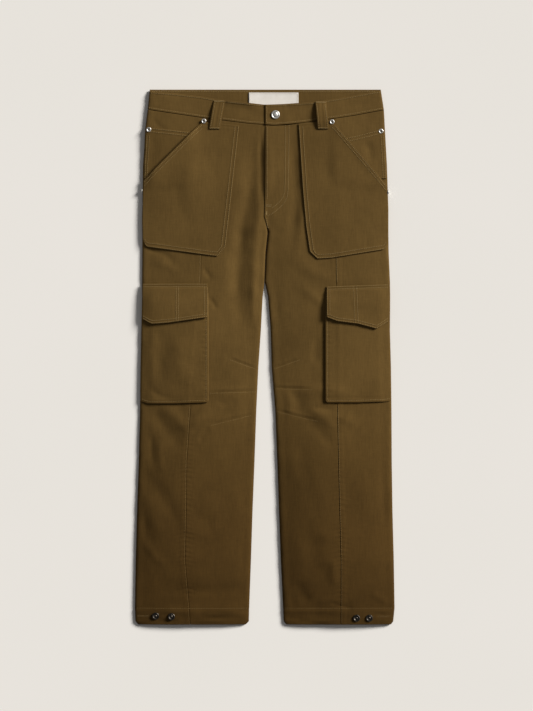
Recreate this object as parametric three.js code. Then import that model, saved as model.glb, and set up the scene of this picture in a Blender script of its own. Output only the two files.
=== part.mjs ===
// Cargo pants lying flat on their back, front up and waist towards +Y.
// Millimetres, +Z up. Right and left are the wearer's: the right leg is at -X.
// Each cut piece of cloth is a closed wall of its own, made of rows and columns of points.
import * as THREE from "three";

// Thicknesses and clearances
const CLOTH = 1.5; // heavy cotton twill with its finish
const HEM_CLOTH = 2.1; // the turned-up hem
const BAND = 2.2; // the doubled waistband
const LABEL = 1.0;
const SEAM_GAP = 0.3; // between pieces that are sewn together or lie on each other
const BAND_SEAM_GAP = 0.8; // between the waistband's curved edge and the panels below it

// Lengths along the garment
const HEM_LINE = -493; // top of the 32 mm hem
const CROTCH = 245;
const FLAT_ABOVE = 262; // the inseam's fold has opened into the centre seam here
const FLY_END = 276; // the left front laps fully over the right one from here up
const LAP_START = 290;
const YOKE_ROW = 405; // last straight row of a panel under the waistband
const BACK_BAND_BOTTOM = 486;
const BACK_BAND_TOP = 525;

// Widths
const FOLD_EASE = 16; // the round fold at a leg's edge flattens out over this width
const FLY_LAP = 14; // right front under the left one
const FLY_WIDTH = 50; // to the fly's curved stitching
const BAND_LAP = 40; // right waistband under the left one
const BAND_LAP_FULL = 44;
const BAND_LAP_END = 82;
const EDGE_INSET = 0.8; // a pocket stops this far inside a leg's fold
const CARGO_OVERHANG = 1.0; // a cargo pocket stands this far past it

// Cargo pocket
const BELLOWS = 3.2; // rise of its loose front over its sewn edges
const BELLOWS_WIDTH = 4;
const CARGO_MOUTH = 125; // hidden under the flap
const FLAP_SEAM = 7; // sewn strip along the flap's top
const FLAP_CLIMB = 11; // the flap is clear of the pocket's mouth from here down

// Patch pocket: its outer part stands clear of the coin pocket under it
const COIN_CLEAR_START = 126;
const COIN_CLEAR_END = 140;
const COIN_BOTTOM = 350;
const PUFF_BOTTOM = 240;
const PUFF_TOP = 320;
const COIN_ROOM = 0.5; // the patch pocket over the coin pocket, where both bend

// Heights that follow the length: the underside, the front cloth's top and the fold's top.
// The back belt loops lie under the waist and lift it; the waistband lifts the front.
const LEVELS = [
  { y: -526, underside: 0, front: 4.6, fold: 5.2, cloth: HEM_CLOTH },
  { y: HEM_LINE - 1, underside: 0, front: 4.6, fold: 5.2, cloth: HEM_CLOTH },
  { y: HEM_LINE + 1, underside: 0, front: 3.4, fold: 5.2, cloth: CLOTH },
  { y: 379, underside: 0, front: 3.4, fold: 5.2, cloth: CLOTH },
  { y: YOKE_ROW, underside: 0, front: 4.6, fold: 6.0, cloth: CLOTH },
  { y: 452, underside: 1.8, front: 7.4, fold: 7.8, cloth: CLOTH },
  { y: 526, underside: 1.8, front: 7.4, fold: 7.8, cloth: CLOTH },
];
const BAND_TOP_HEIGHT = 7.8;
const BAND_BACK_HEIGHT = 1.8;

// Outline of each leg: outer fold, seam between front and side panel, and inner fold.
// Above the crotch, inner is the centre seam.
const RIGHT_LEG = [
  { y: -525, outer: -249, seam: -147, inner: -37 },
  { y: -519, outer: -254, seam: -147, inner: -31 },
  { y: HEM_LINE - 1, outer: -255, seam: -148, inner: -30.5 },
  { y: HEM_LINE + 1, outer: -255, seam: -148, inner: -30.5 },
  { y: -399, outer: -253.5, seam: -156, inner: -27 },
  { y: -305, outer: -251, seam: -154, inner: -24 },
  { y: -205, outer: -247.5, seam: -153, inner: -20 },
  { y: -105, outer: -245, seam: -146, inner: -16.5 },
  { y: -20, outer: -244, seam: -141, inner: -12.5 },
  { y: 53, outer: -242.5, seam: -134, inner: -7.5 },
  { y: 118, outer: -241, seam: -128, inner: -4 },
  { y: 149, outer: -241, seam: -126, inner: -0.5 },
  { y: 205, outer: -240.5, seam: -125, inner: 2 },
  { y: CROTCH, outer: -240.5, seam: -124, inner: 6.5 },
  { y: FLAT_ABOVE, outer: -241, seam: -124, inner: 2.5 },
  { y: FLY_END, outer: -241, seam: -124, inner: -1 },
  { y: LAP_START, outer: -240.5, seam: -123, inner: 0 },
  { y: 379, outer: -239, seam: -122, inner: 0.6 },
  { y: YOKE_ROW, outer: -237, seam: -122, inner: 0.8 },
  { y: 447, outer: -235, seam: -122, inner: 1.2 },
  { y: 486, outer: -230, seam: -122, inner: 1.2 },
  { y: 525, outer: -226, seam: -122, inner: 1.2 },
];
const LEFT_LEG = [
  { y: -525, outer: 248, seam: 149, inner: 42 },
  { y: -519, outer: 252.5, seam: 149, inner: 37 },
  { y: HEM_LINE - 1, outer: 255, seam: 149, inner: 36 },
  { y: HEM_LINE + 1, outer: 255, seam: 149, inner: 36 },
  { y: -399, outer: 253.5, seam: 149, inner: 31.5 },
  { y: -305, outer: 251, seam: 146.5, inner: 28 },
  { y: -205, outer: 249.5, seam: 144, inner: 24.5 },
  { y: -105, outer: 249, seam: 142, inner: 20.5 },
  { y: -20, outer: 248, seam: 141, inner: 13.5 },
  { y: 53, outer: 246, seam: 140.5, inner: 11.5 },
  { y: 118, outer: 246.5, seam: 140, inner: 6.4 },
  { y: 149, outer: 246, seam: 140, inner: -0.2 },
  { y: 205, outer: 243.5, seam: 139, inner: 2.3 },
  { y: CROTCH, outer: 243, seam: 138, inner: 6.8 },
  { y: FLAT_ABOVE, outer: 243, seam: 138, inner: 2.8 },
  { y: FLY_END, outer: 243, seam: 137, inner: -0.7 },
  { y: LAP_START, outer: 243, seam: 137, inner: 0.3 },
  { y: 379, outer: 240, seam: 135, inner: 0.9 },
  { y: YOKE_ROW, outer: 238.5, seam: 134, inner: 1.1 },
  { y: 447, outer: 236, seam: 133, inner: 1.5 },
  { y: 486, outer: 234, seam: 133, inner: 1.5 },
  { y: 525, outer: 228, seam: 133, inner: 1.5 },
];

// Front waistband, which dips in the middle
const FRONT_BAND = [
  { x: -230, bottom: 486, top: 521 },
  { x: -185, bottom: 479, top: 518 },
  { x: -125, bottom: 470, top: 511 },
  { x: -85, bottom: 465, top: 504 },
  { x: -30, bottom: 458, top: 498 },
  { x: 0, bottom: 456, top: 495 },
  { x: 18, bottom: 454.5, top: 495 },
  { x: 66, bottom: 458, top: 498 },
  { x: 96, bottom: 463, top: 500 },
  { x: 136, bottom: 468, top: 506 },
  { x: 175, bottom: 474, top: 513 },
  { x: 233, bottom: 485, top: 523 },
];

// Columns of each front band from its side to its end at the fly
const RIGHT_BAND_COLUMNS = [-185, -125, -85, -30, 0, BAND_LAP];
const LEFT_BAND_COLUMNS = [175, 136, 96, BAND_LAP_END, BAND_LAP_FULL, 18, 1];

// Patch pockets: inner edge up the garment, slanted mouth and cut-off lower corners
const RIGHT_PATCH = {
  leg: RIGHT_LEG,
  inner: [
    { y: 197, x: -79 },
    { y: 328, x: -64 },
    { y: 454, x: -50 },
  ],
  top: [
    { x: -238, y: 340 },
    { x: -123, y: 461 },
    { x: -50, y: 454 },
  ],
  bottom: [
    { x: -240, y: 230 },
    { x: -232, y: 216 },
    { x: -93, y: 197 },
    { x: -79, y: 216 },
  ],
  columns: [0, 0.085, 0.2, 0.39, 0.43, 0.5, 0.7, 0.9, 0.95, 1],
};
const LEFT_PATCH = {
  leg: LEFT_LEG,
  inner: [
    { y: 207, x: 88 },
    { y: 275, x: 78 },
    { y: 379, x: 71 },
    { y: 457, x: 66 },
  ],
  top: [
    { x: 66, y: 457 },
    { x: 132, y: 463 },
    { x: 242, y: 326 },
  ],
  bottom: [
    { x: 88, y: 207 },
    { x: 104, y: 192 },
    { x: 131, y: 194 },
    { x: 234, y: 211 },
    { x: 243, y: 224 },
  ],
  columns: [0, 0.1, 0.27, 0.39, 0.46, 0.5, 0.7, 0.9, 0.945, 1],
};
const PATCH_ROWS = [0, 0.2, 0.45, 0.7, 1];

// Coin pockets, in the mouths of the patch pockets
const RIGHT_COIN = {
  leg: RIGHT_LEG,
  innerX: -143,
  top: [
    { x: -236, y: 451 },
    { x: -143, y: 441 },
  ],
};
const LEFT_COIN = {
  leg: LEFT_LEG,
  innerX: 143,
  top: [
    { x: 143, y: 427 },
    { x: 175, y: 433 },
    { x: 236, y: 448 },
  ],
};

// Cargo pockets on the outer side of each knee, and their pointed flaps
const RIGHT_CARGO = {
  leg: RIGHT_LEG,
  innerX: -110,
  bottom: [
    { x: -244, y: -84 },
    { x: -239, y: -92 },
    { x: -116, y: -92 },
    { x: -110, y: -86 },
  ],
};
const LEFT_CARGO = {
  leg: LEFT_LEG,
  innerX: 118,
  bottom: [
    { x: 118, y: -86 },
    { x: 124, y: -92 },
    { x: 245, y: -88 },
    { x: 249, y: -82 },
  ],
};
const RIGHT_FLAP = {
  leg: RIGHT_LEG,
  innerX: -111.5,
  top: [
    { x: -242, y: 144 },
    { x: -111.5, y: 144 },
  ],
  bottom: [
    { x: -242, y: 76 },
    { x: -221, y: 64 },
    { x: -189, y: 67 },
    { x: -111.5, y: 78 },
  ],
  columns: [0, 0.3, 0.59, 0.84, 0.88, 0.97, 1],
};
const LEFT_FLAP = {
  leg: LEFT_LEG,
  innerX: 121,
  top: [
    { x: 121, y: 138.5 },
    { x: 247, y: 143 },
  ],
  bottom: [
    { x: 121, y: 78 },
    { x: 142, y: 70 },
    { x: 183, y: 65 },
    { x: 220, y: 55 },
    { x: 247, y: 73 },
  ],
  columns: [0, 0.17, 0.49, 0.78, 0.88, 0.97, 1],
};

// Belt loops: centre of the lower and the upper end. Front loops stand off the band.
const LOOP_WIDTH = 21.5;
const FRONT_LOOPS = [
  { name: "belt_loop_front_right", lowX: -98.5, highX: -89, lowY: 447, highY: 503 },
  { name: "belt_loop_front_left", lowX: 114.5, highX: 110, lowY: 447, highY: 501 },
];
const BACK_LOOPS = [
  { name: "belt_loop_back_right", x: -148 },
  { name: "belt_loop_back_centre", x: 0 },
  { name: "belt_loop_back_left", x: 148 },
];
const BACK_LOOP_BOTTOM = 467;
const LOOP_HEIGHTS = [
  { y: 447, under: 9.6 },
  { y: 463, under: 10.0 },
  { y: 484, under: 9.6 },
  { y: 495, under: 8.4 },
  { y: 505, under: 8.1 },
];

const INNER_LABEL = { left: -31, right: 66, bottom: 487, top: 519 };

// Metal
const WAIST_BUTTON = { x: 21, y: 475, radius: 8.5, height: 3.2, segments: 28 };
const HEM_BUTTON = { radius: 7, height: 2.8, segments: 20 };
const HEM_BUTTONS = [
  { name: "hem_button_right_outer", leg: RIGHT_LEG, x: -214, y: -508 },
  { name: "hem_button_right_inner", leg: RIGHT_LEG, x: -183, y: -509 },
  { name: "hem_button_left_inner", leg: LEFT_LEG, x: 180, y: -512 },
  { name: "hem_button_left_outer", leg: LEFT_LEG, x: 205, y: -512 },
];
const RIVET = { radius: 4.8, height: 1.4, segments: 16 };
const RIVETS = [
  { name: "rivet_mouth_right", leg: RIGHT_LEG, x: -119.5, y: 462.5, surface: patchTop },
  { name: "rivet_mouth_left", leg: LEFT_LEG, x: 132, y: 461, surface: patchTop },
  { name: "rivet_coin_right", leg: RIGHT_LEG, x: -227.5, y: 446, surface: coinTop },
  { name: "rivet_coin_left", leg: LEFT_LEG, x: 228, y: 443, surface: coinTop },
];
const SIDE_RIVETS = [
  { name: "rivet_side_right", leg: RIGHT_LEG, y: 326 },
  { name: "rivet_side_left", leg: LEFT_LEG, y: 324 },
];
const SIDE_RIVET_HEIGHT = 5.2; // of its centre over the surface below

const MATERIALS = {
  twill: new THREE.MeshStandardMaterial({ color: 0x5e4827, roughness: 0.92 }),
  label: new THREE.MeshStandardMaterial({ color: 0xe0dad0, roughness: 0.85 }),
  silver: new THREE.MeshStandardMaterial({ color: 0xb9bab8, roughness: 0.35, metalness: 1 }),
  gunmetal: new THREE.MeshStandardMaterial({ color: 0x55524d, roughness: 0.4, metalness: 1 }),
};

const group = new THREE.Group();

// ---- Tables and small sums -------------------------------------------------

function mix(low, high, share) {
  return low + share * (high - low);
}

function clamp01(value) {
  return Math.min(1, Math.max(0, value));
}

// Value of one column of a table, on a straight line between its rows.
function lookup(rows, by, column, value) {
  const next = rows.findIndex((row) => row[by] > value);
  if (next === 0) {
    return rows[0][column];
  }
  if (next < 0) {
    return rows[rows.length - 1][column];
  }
  const low = rows[next - 1];
  const high = rows[next];
  return mix(low[column], high[column], (value - low[by]) / (high[by] - low[by]));
}

function level(column, y) {
  return lookup(LEVELS, "y", column, y);
}

function edge(leg, column, y) {
  return lookup(leg, "y", column, y);
}

// 1 on the right of the garment's middle, -1 on its left: the way a leg's outer fold faces.
function outward(leg) {
  return Math.sign(leg[0].outer);
}

// ---- Surfaces --------------------------------------------------------------

// How far the left front is lifted where it laps over the right one.
function lapLift(x, y) {
  const across = clamp01((FLY_WIDTH - x) / (FLY_WIDTH - FOLD_EASE));
  const along = clamp01((y - CROTCH) / (FLY_END - CROTCH));
  return (CLOTH + SEAM_GAP) * across * along;
}

// How much of the inseam's fold is left: all below the crotch, none above it.
function inseamFold(y) {
  return clamp01((FLAT_ABOVE - y) / (FLAT_ABOVE - CROTCH));
}

// Radius of the round fold at a leg's edges.
function foldRadius(y) {
  return (level("fold", y) - level("underside", y)) / 2;
}

// Height of the front cloth's outer face.
function frontTop(leg, x, y) {
  const radius = foldRadius(y);
  const fromOuter = Math.abs(edge(leg, "outer", y) - x);
  const fromInner = Math.abs(x - edge(leg, "inner", y));
  const outerRise = clamp01((FOLD_EASE - fromOuter) / (FOLD_EASE - radius));
  const innerRise = inseamFold(y) * clamp01((FOLD_EASE - fromInner) / (FOLD_EASE - radius));
  const flat = level("front", y);
  const lap = leg === LEFT_LEG ? lapLift(x, y) : 0;
  return flat + (level("fold", y) - flat) * Math.max(outerRise, innerRise) + lap;
}

function coinTop(leg, x, y) {
  return frontTop(leg, x, y) + SEAM_GAP + CLOTH;
}

// Underside of a patch pocket: close to the front, and over the coin pocket further out.
function patchUnder(leg, x, y) {
  const across = clamp01((Math.abs(x) - COIN_CLEAR_START) / (COIN_CLEAR_END - COIN_CLEAR_START));
  const along = clamp01((y - PUFF_BOTTOM) / (PUFF_TOP - PUFF_BOTTOM));
  return frontTop(leg, x, y) + SEAM_GAP + (CLOTH + COIN_ROOM) * across * along;
}

function patchTop(leg, x, y) {
  return patchUnder(leg, x, y) + CLOTH;
}

// Lift of the left waistband over the right one.
function bandLift(x) {
  return (BAND + SEAM_GAP) * clamp01((BAND_LAP_END - x) / (BAND_LAP_END - BAND_LAP_FULL));
}

// ---- Closed walls ----------------------------------------------------------

// Joins two grids of points, the same size, and closes them round their rims.
function closedWall(faceA, faceB) {
  const rows = faceA.length;
  const columns = faceA[0].length;
  const points = [...faceA.flat(), ...faceB.flat()];
  const indices = [];
  const at = (layer, row, column) => (layer * rows + row) * columns + column;
  const quad = (a, b, c, d) => indices.push(a, b, c, a, c, d);
  const cell = (layer, row, column) => [
    at(layer, row, column),
    at(layer, row, column + 1),
    at(layer, row + 1, column + 1),
    at(layer, row + 1, column),
  ];
  const rim = (from, to) => quad(at(0, ...from), at(1, ...from), at(1, ...to), at(0, ...to));
  const lastRow = rows - 1;
  const lastColumn = columns - 1;
  for (let row = 0; row < lastRow; row += 1) {
    for (let column = 0; column < lastColumn; column += 1) {
      quad(...cell(0, row, column));
      quad(...cell(1, row, column).reverse());
    }
    rim([row + 1, 0], [row, 0]);
    rim([row, lastColumn], [row + 1, lastColumn]);
  }
  for (let column = 0; column < lastColumn; column += 1) {
    rim([0, column], [0, column + 1]);
    rim([lastRow, column + 1], [lastRow, column]);
  }
  if (signedVolume(points, indices) < 0) {
    indices.reverse();
  }
  const geometry = new THREE.BufferGeometry();
  geometry.setAttribute("position", new THREE.Float32BufferAttribute(points.flat(), 3));
  geometry.setIndex(indices);
  geometry.computeVertexNormals();
  return geometry;
}

function signedVolume(points, indices) {
  let total = 0;
  for (let i = 0; i < indices.length; i += 3) {
    const [a, b, c] = indices.slice(i, i + 3).map((index) => new THREE.Vector3(...points[index]));
    total += a.dot(b.cross(c)) / 6;
  }
  return total;
}

function addMesh(name, geometry, material) {
  const mesh = new THREE.Mesh(geometry, material.clone());
  mesh.name = name;
  group.add(mesh);
  return mesh;
}

// A grid of rows by columns; each column turns a height along the garment into a pair of points.
function addPanel(name, columns, rowHeights) {
  const pairs = rowHeights.map((height) => columns.map((column) => column(height(column))));
  const faceA = pairs.map((row) => row.map((pair) => pair.face));
  const faceB = pairs.map((row) => row.map((pair) => pair.inside));
  addMesh(name, closedWall(faceA, faceB), MATERIALS.twill);
}

// A flat piece: four edges, the columns and rows between them, and the height of its underside.
function addFlatPiece(name, shape, material = MATERIALS.twill) {
  const pairs = shape.rows.map((placeRow, row) =>
    shape.columns.map((placeColumn, column) => {
      const lowX = placeColumn(shape.inner(shape.lowY), shape.outer(shape.lowY));
      const highX = placeColumn(shape.inner(shape.highY), shape.outer(shape.highY));
      const y = placeRow(shape.bottom(lowX), shape.top(highX));
      const x = placeColumn(shape.inner(y), shape.outer(y));
      const under = shape.under(x, y, row, column);
      return { upper: [x, y, under + shape.thickness], lower: [x, y, under] };
    }),
  );
  const upper = pairs.map((row) => row.map((pair) => pair.upper));
  const lower = pairs.map((row) => row.map((pair) => pair.lower));
  addMesh(name, closedWall(upper, lower), material);
}

// Places of a column or row between two edges: a share of the way, or a distance from either.
function share(part) {
  return (low, high) => mix(low, high, part);
}

function fromStart(distance) {
  return (low, high) => low + Math.sign(high - low) * distance;
}

function fromEnd(distance) {
  return (low, high) => high - Math.sign(high - low) * distance;
}

// ---- Leg panels ------------------------------------------------------------

// Degrees round a leg's fold, from its seam at mid-height to the top or bottom of the leg.
const FOLD_STEPS = [0, 30, 60, 90];
const QUARTER_TURN = 90;

// Shares of a panel's width at which it has a column besides those near its edges.
const FRONT_COLUMN = 0.76;
const BACK_COLUMNS = [0.35, 0.7];

// A column of a panel round a fold. edgeSide is 1 where the fold faces +X, facing 1 on the front.
function foldColumn(leg, edgeName, edgeSide, facing, step) {
  return (y) => {
    const radius = foldRadius(y);
    const cloth = level("cloth", y);
    const middle = level("underside", y) + radius;
    const start = Math.asin(SEAM_GAP / 2 / radius);
    const angle = mix(start, Math.PI / 2, step / QUARTER_TURN);
    const centreX = edge(leg, edgeName, y) - edgeSide * radius;
    const on = (r) => [centreX + edgeSide * r * Math.cos(angle), y, middle + facing * r * Math.sin(angle)];
    const round = { face: on(radius), inside: on(radius - cloth) };
    const keep = edgeName === "inner" ? inseamFold(y) : 1;
    const x = centreX + edgeSide * radius * Math.cos(angle);
    const flat = flatPair(leg, x, y, facing);
    return {
      face: round.face.map((value, axis) => mix(flat.face[axis], value, keep)),
      inside: round.inside.map((value, axis) => mix(flat.inside[axis], value, keep)),
    };
  };
}

// The two faces of the cloth at a point away from the folds.
function flatPair(leg, x, y, facing) {
  const cloth = level("cloth", y);
  if (facing > 0) {
    const top = frontTop(leg, x, y);
    return { face: [x, y, top], inside: [x, y, top - cloth] };
  }
  const bottom = level("underside", y);
  return { face: [x, y, bottom], inside: [x, y, bottom + cloth] };
}

function flatColumn(leg, facing, place) {
  return (y) => flatPair(leg, place(y), y, facing);
}

// Rows of a panel: the leg's own rows up to the yoke, then on to the panel's top edge.
function panelRows(leg, topEdge) {
  const straight = leg.filter((row) => row.y <= YOKE_ROW).map((row) => () => row.y);
  const upper = [0.5, 1].map((share) => (column) => {
    const near = topEdge(column(YOKE_ROW).face[0]);
    const x = column(near).face[0];
    return mix(YOKE_ROW, topEdge(x) - BAND_SEAM_GAP, share);
  });
  return [...straight, ...upper];
}

function bandBottom(x) {
  return lookup(FRONT_BAND, "x", "bottom", x);
}

// Side panel: from the outer fold to the seam beside the front panel.
function addSideFront(name, leg) {
  const side = outward(leg);
  const outer = (y) => edge(leg, "outer", y);
  const seam = (y) => edge(leg, "seam", y) + (side * SEAM_GAP) / 2;
  const columns = [
    ...FOLD_STEPS.map((step) => foldColumn(leg, "outer", side, 1, step)),
    flatColumn(leg, 1, (y) => outer(y) - side * FOLD_EASE),
    flatColumn(leg, 1, (y) => mix(outer(y) - side * FOLD_EASE, seam(y), 0.5)),
    flatColumn(leg, 1, seam),
  ];
  addPanel(name, columns, panelRows(leg, bandBottom));
}

// Front panel: from that seam to the inseam's fold and the centre seam.
function addFront(name, leg, lap) {
  const side = outward(leg);
  const seam = (y) => edge(leg, "seam", y) - (side * SEAM_GAP) / 2;
  const lapped = leg.map((row) => ({ ...row, inner: row.inner + (row.y >= LAP_START ? lap : 0) }));
  const inner = (y) => edge(lapped, "inner", y);
  const fold = (step) => (y) => {
    const pair = foldColumn(leg, "inner", -side, 1, step)(y);
    const shift = inner(y) - edge(leg, "inner", y);
    pair.face[0] += shift;
    pair.inside[0] += shift;
    return pair;
  };
  const columns = [
    flatColumn(leg, 1, seam),
    flatColumn(leg, 1, (y) => mix(inner(y), seam(y), FRONT_COLUMN)),
    flatColumn(leg, 1, (y) => inner(y) + side * FLY_WIDTH),
    flatColumn(leg, 1, (y) => inner(y) + side * FOLD_EASE),
    ...FOLD_STEPS.toReversed().map(fold),
  ];
  addPanel(name, columns, panelRows(leg, bandBottom));
}

// Back panel: from fold to fold below the crotch, and to the centre back seam above it.
function addBack(name, leg) {
  const side = outward(leg);
  const outer = (y) => edge(leg, "outer", y);
  const inner = (y) => edge(leg, "inner", y);
  const columns = [
    ...FOLD_STEPS.map((step) => foldColumn(leg, "outer", side, -1, step)),
    ...BACK_COLUMNS.map((part) => flatColumn(leg, -1, (y) => mix(outer(y), inner(y), part))),
    ...FOLD_STEPS.toReversed().map((step) => foldColumn(leg, "inner", -side, -1, step)),
  ];
  addPanel(name, columns, panelRows(leg, () => BACK_BAND_BOTTOM));
}

// ---- Waistband -------------------------------------------------------------

const BAND_RADIUS = (BAND_TOP_HEIGHT - BAND_BACK_HEIGHT) / 2;

// The band round the side of the waist, as a quarter turn from its side seam.
function bandFoldColumn(leg, facing, step) {
  const side = outward(leg);
  const angle = mix(Math.asin(SEAM_GAP / 2 / BAND_RADIUS), Math.PI / 2, step / QUARTER_TURN);
  return (y) => {
    const centreX = edge(leg, "outer", y) - side * BAND_RADIUS;
    const centreZ = BAND_BACK_HEIGHT + BAND_RADIUS;
    const on = (r) => [centreX + side * r * Math.cos(angle), y, centreZ + facing * r * Math.sin(angle)];
    return { face: on(BAND_RADIUS), inside: on(BAND_RADIUS - BAND) };
  };
}

function bandFlatColumn(x, height) {
  return (y) => ({ face: [x, y, height], inside: [x, y, height - BAND] });
}

// One side of the front band, from its side seam to its end at the fly.
function addFrontBand(name, leg, stations, lift) {
  const columns = [
    ...FOLD_STEPS.map((step) => bandFoldColumn(leg, 1, step)),
    ...stations.map((x) => bandFlatColumn(x, BAND_TOP_HEIGHT + lift(x))),
  ];
  const rows = ["bottom", "top"].map((line) => (column) => {
    const x = column(BACK_BAND_BOTTOM).face[0];
    return lookup(FRONT_BAND, "x", line, x);
  });
  addPanel(name, columns, rows);
}

// The back band runs from side seam to side seam, its inner face up.
function addBackBand() {
  const middle = (y) => ({
    face: [0, y, BAND_BACK_HEIGHT],
    inside: [0, y, BAND_BACK_HEIGHT + BAND],
  });
  const columns = [
    ...FOLD_STEPS.map((step) => bandFoldColumn(RIGHT_LEG, -1, step)),
    middle,
    ...FOLD_STEPS.toReversed().map((step) => bandFoldColumn(LEFT_LEG, -1, step)),
  ];
  addPanel("waistband_back", columns, [() => BACK_BAND_BOTTOM, () => BACK_BAND_TOP]);
}

// ---- Pockets, loops and label ----------------------------------------------

function outerLimit(leg, past) {
  return (y) => edge(leg, "outer", y) + outward(leg) * past;
}

function addPatchPocket(name, patch) {
  addFlatPiece(name, {
    inner: (y) => lookup(patch.inner, "y", "x", y),
    outer: outerLimit(patch.leg, -EDGE_INSET),
    lowY: patch.inner[0].y,
    highY: patch.inner[patch.inner.length - 1].y,
    bottom: (x) => lookup(patch.bottom, "x", "y", x),
    top: (x) => Math.min(lookup(patch.top, "x", "y", x), bandBottom(x) - BAND_SEAM_GAP),
    columns: patch.columns.map(share),
    rows: PATCH_ROWS.map(share),
    under: (x, y) => patchUnder(patch.leg, x, y),
    thickness: CLOTH,
  });
}

function addCoinPocket(name, coin) {
  addFlatPiece(name, {
    inner: () => coin.innerX,
    outer: outerLimit(coin.leg, -EDGE_INSET),
    lowY: COIN_BOTTOM,
    highY: YOKE_ROW,
    bottom: () => COIN_BOTTOM,
    top: (x) => lookup(coin.top, "x", "y", x),
    columns: [share(0), share(0.4), share(0.7), fromEnd(FOLD_EASE), share(1)],
    rows: [0, 0.3, 0.56, 1].map(share),
    under: (x, y) => frontTop(coin.leg, x, y) + SEAM_GAP,
    thickness: CLOTH,
  });
}

// The cargo pocket's front, loose over the panel and sewn down on three sides.
function addCargoPocket(name, cargo) {
  const columns = [
    share(0),
    fromStart(BELLOWS_WIDTH),
    share(0.5),
    fromEnd(FOLD_EASE),
    fromEnd(BELLOWS_WIDTH),
    share(1),
  ];
  const rows = [share(0), fromStart(BELLOWS_WIDTH), share(0.35), share(0.7), share(1)];
  const rise = (row, column) => {
    const sewn = row === 0 || column === 0 || column === columns.length - 1;
    return sewn ? 0 : BELLOWS;
  };
  addFlatPiece(name, {
    inner: () => cargo.innerX,
    outer: outerLimit(cargo.leg, CARGO_OVERHANG),
    lowY: cargo.bottom[1].y,
    highY: CARGO_MOUTH,
    bottom: (x) => lookup(cargo.bottom, "x", "y", x),
    top: () => CARGO_MOUTH,
    columns,
    rows,
    under: (x, y, row, column) => frontTop(cargo.leg, x, y) + SEAM_GAP + rise(row, column),
    thickness: CLOTH,
  });
}

// The flap: sewn to the panel along its top, then over the pocket's mouth.
function addCargoFlap(name, flap) {
  const clear = BELLOWS + CLOTH + SEAM_GAP;
  const rows = [share(0), share(0.45), fromEnd(FLAP_CLIMB), fromEnd(FLAP_SEAM), share(1)];
  const firstSewnRow = 3;
  addFlatPiece(name, {
    inner: () => flap.innerX,
    outer: outerLimit(flap.leg, CARGO_OVERHANG),
    lowY: flap.bottom[0].y,
    highY: flap.top[0].y,
    bottom: (x) => lookup(flap.bottom, "x", "y", x),
    top: (x) => lookup(flap.top, "x", "y", x),
    columns: flap.columns.map(share),
    rows,
    under: (x, y, row) => {
      const lift = row < firstSewnRow ? clear : 0;
      return frontTop(flap.leg, x, y) + SEAM_GAP + lift;
    },
    thickness: CLOTH,
  });
}

function addFrontLoop(loop) {
  const middle = (y) => mix(loop.lowX, loop.highX, (y - loop.lowY) / (loop.highY - loop.lowY));
  addFlatPiece(loop.name, {
    inner: (y) => middle(y) - LOOP_WIDTH / 2,
    outer: (y) => middle(y) + LOOP_WIDTH / 2,
    lowY: loop.lowY,
    highY: loop.highY,
    bottom: () => loop.lowY,
    top: () => loop.highY,
    columns: [0, 0.5, 1].map(share),
    rows: [0, 0.3, 0.5, 0.7, 0.87, 1].map(share),
    under: (x, y) => lookup(LOOP_HEIGHTS, "y", "under", y),
    thickness: CLOTH,
  });
}

function addBackLoop(loop) {
  addFlatPiece(loop.name, {
    inner: () => loop.x - LOOP_WIDTH / 2,
    outer: () => loop.x + LOOP_WIDTH / 2,
    lowY: BACK_LOOP_BOTTOM,
    highY: BACK_BAND_TOP,
    bottom: () => BACK_LOOP_BOTTOM,
    top: () => BACK_BAND_TOP,
    columns: [0, 1].map(share),
    rows: [0, 1].map(share),
    under: () => 0,
    thickness: CLOTH,
  });
}

function addLabel() {
  addFlatPiece(
    "inner_label",
    {
      inner: () => INNER_LABEL.left,
      outer: () => INNER_LABEL.right,
      lowY: INNER_LABEL.bottom,
      highY: INNER_LABEL.top,
      bottom: () => INNER_LABEL.bottom,
      top: () => INNER_LABEL.top,
      columns: [0, 1].map(share),
      rows: [0, 1].map(share),
      under: () => BAND_BACK_HEIGHT + BAND + SEAM_GAP,
      thickness: LABEL,
    },
    MATERIALS.label,
  );
}

// ---- Metal -----------------------------------------------------------------

// A turned metal head with a raised rim and a domed middle, its axis along +Y before it is placed.
function turnedHead(radius, height, segments) {
  const profile = [
    [0, 0],
    [0.92 * radius, 0],
    [radius, 0.3 * height],
    [0.88 * radius, 0.85 * height],
    [0.66 * radius, 0.8 * height],
    [0.54 * radius, 0.5 * height],
    [0.34 * radius, 0.85 * height],
    [0, height],
  ];
  const points = profile.map(([r, z]) => new THREE.Vector2(r, z));
  return new THREE.LatheGeometry(points, segments);
}

function addHead(name, x, y, z, size, material) {
  const head = addMesh(name, turnedHead(size.radius, size.height, size.segments), material);
  head.rotation.x = Math.PI / 2;
  head.position.set(x, y, z);
  return head;
}

// Lowest height at which a round head of this radius clears a surface.
function seatHeight(surface, leg, x, y, radius) {
  const steps = 12;
  const heights = [surface(leg, x, y)];
  for (let step = 0; step < steps; step += 1) {
    const angle = (2 * Math.PI * step) / steps;
    heights.push(surface(leg, x + radius * Math.cos(angle), y + radius * Math.sin(angle)));
  }
  return Math.max(...heights) + SEAM_GAP;
}

function addWaistButton() {
  const { x, y } = WAIST_BUTTON;
  const seat = BAND_TOP_HEIGHT + bandLift(x) + SEAM_GAP;
  addHead("waist_button", x, y, seat, WAIST_BUTTON, MATERIALS.silver);
}

function addHemButton({ name, leg, x, y }) {
  const seat = seatHeight(frontTop, leg, x, y, HEM_BUTTON.radius);
  addHead(name, x, y, seat, HEM_BUTTON, MATERIALS.gunmetal);
}

function addRivet({ name, leg, x, y, surface }) {
  addHead(name, x, y, seatHeight(surface, leg, x, y, RIVET.radius), RIVET, MATERIALS.silver);
}

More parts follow.
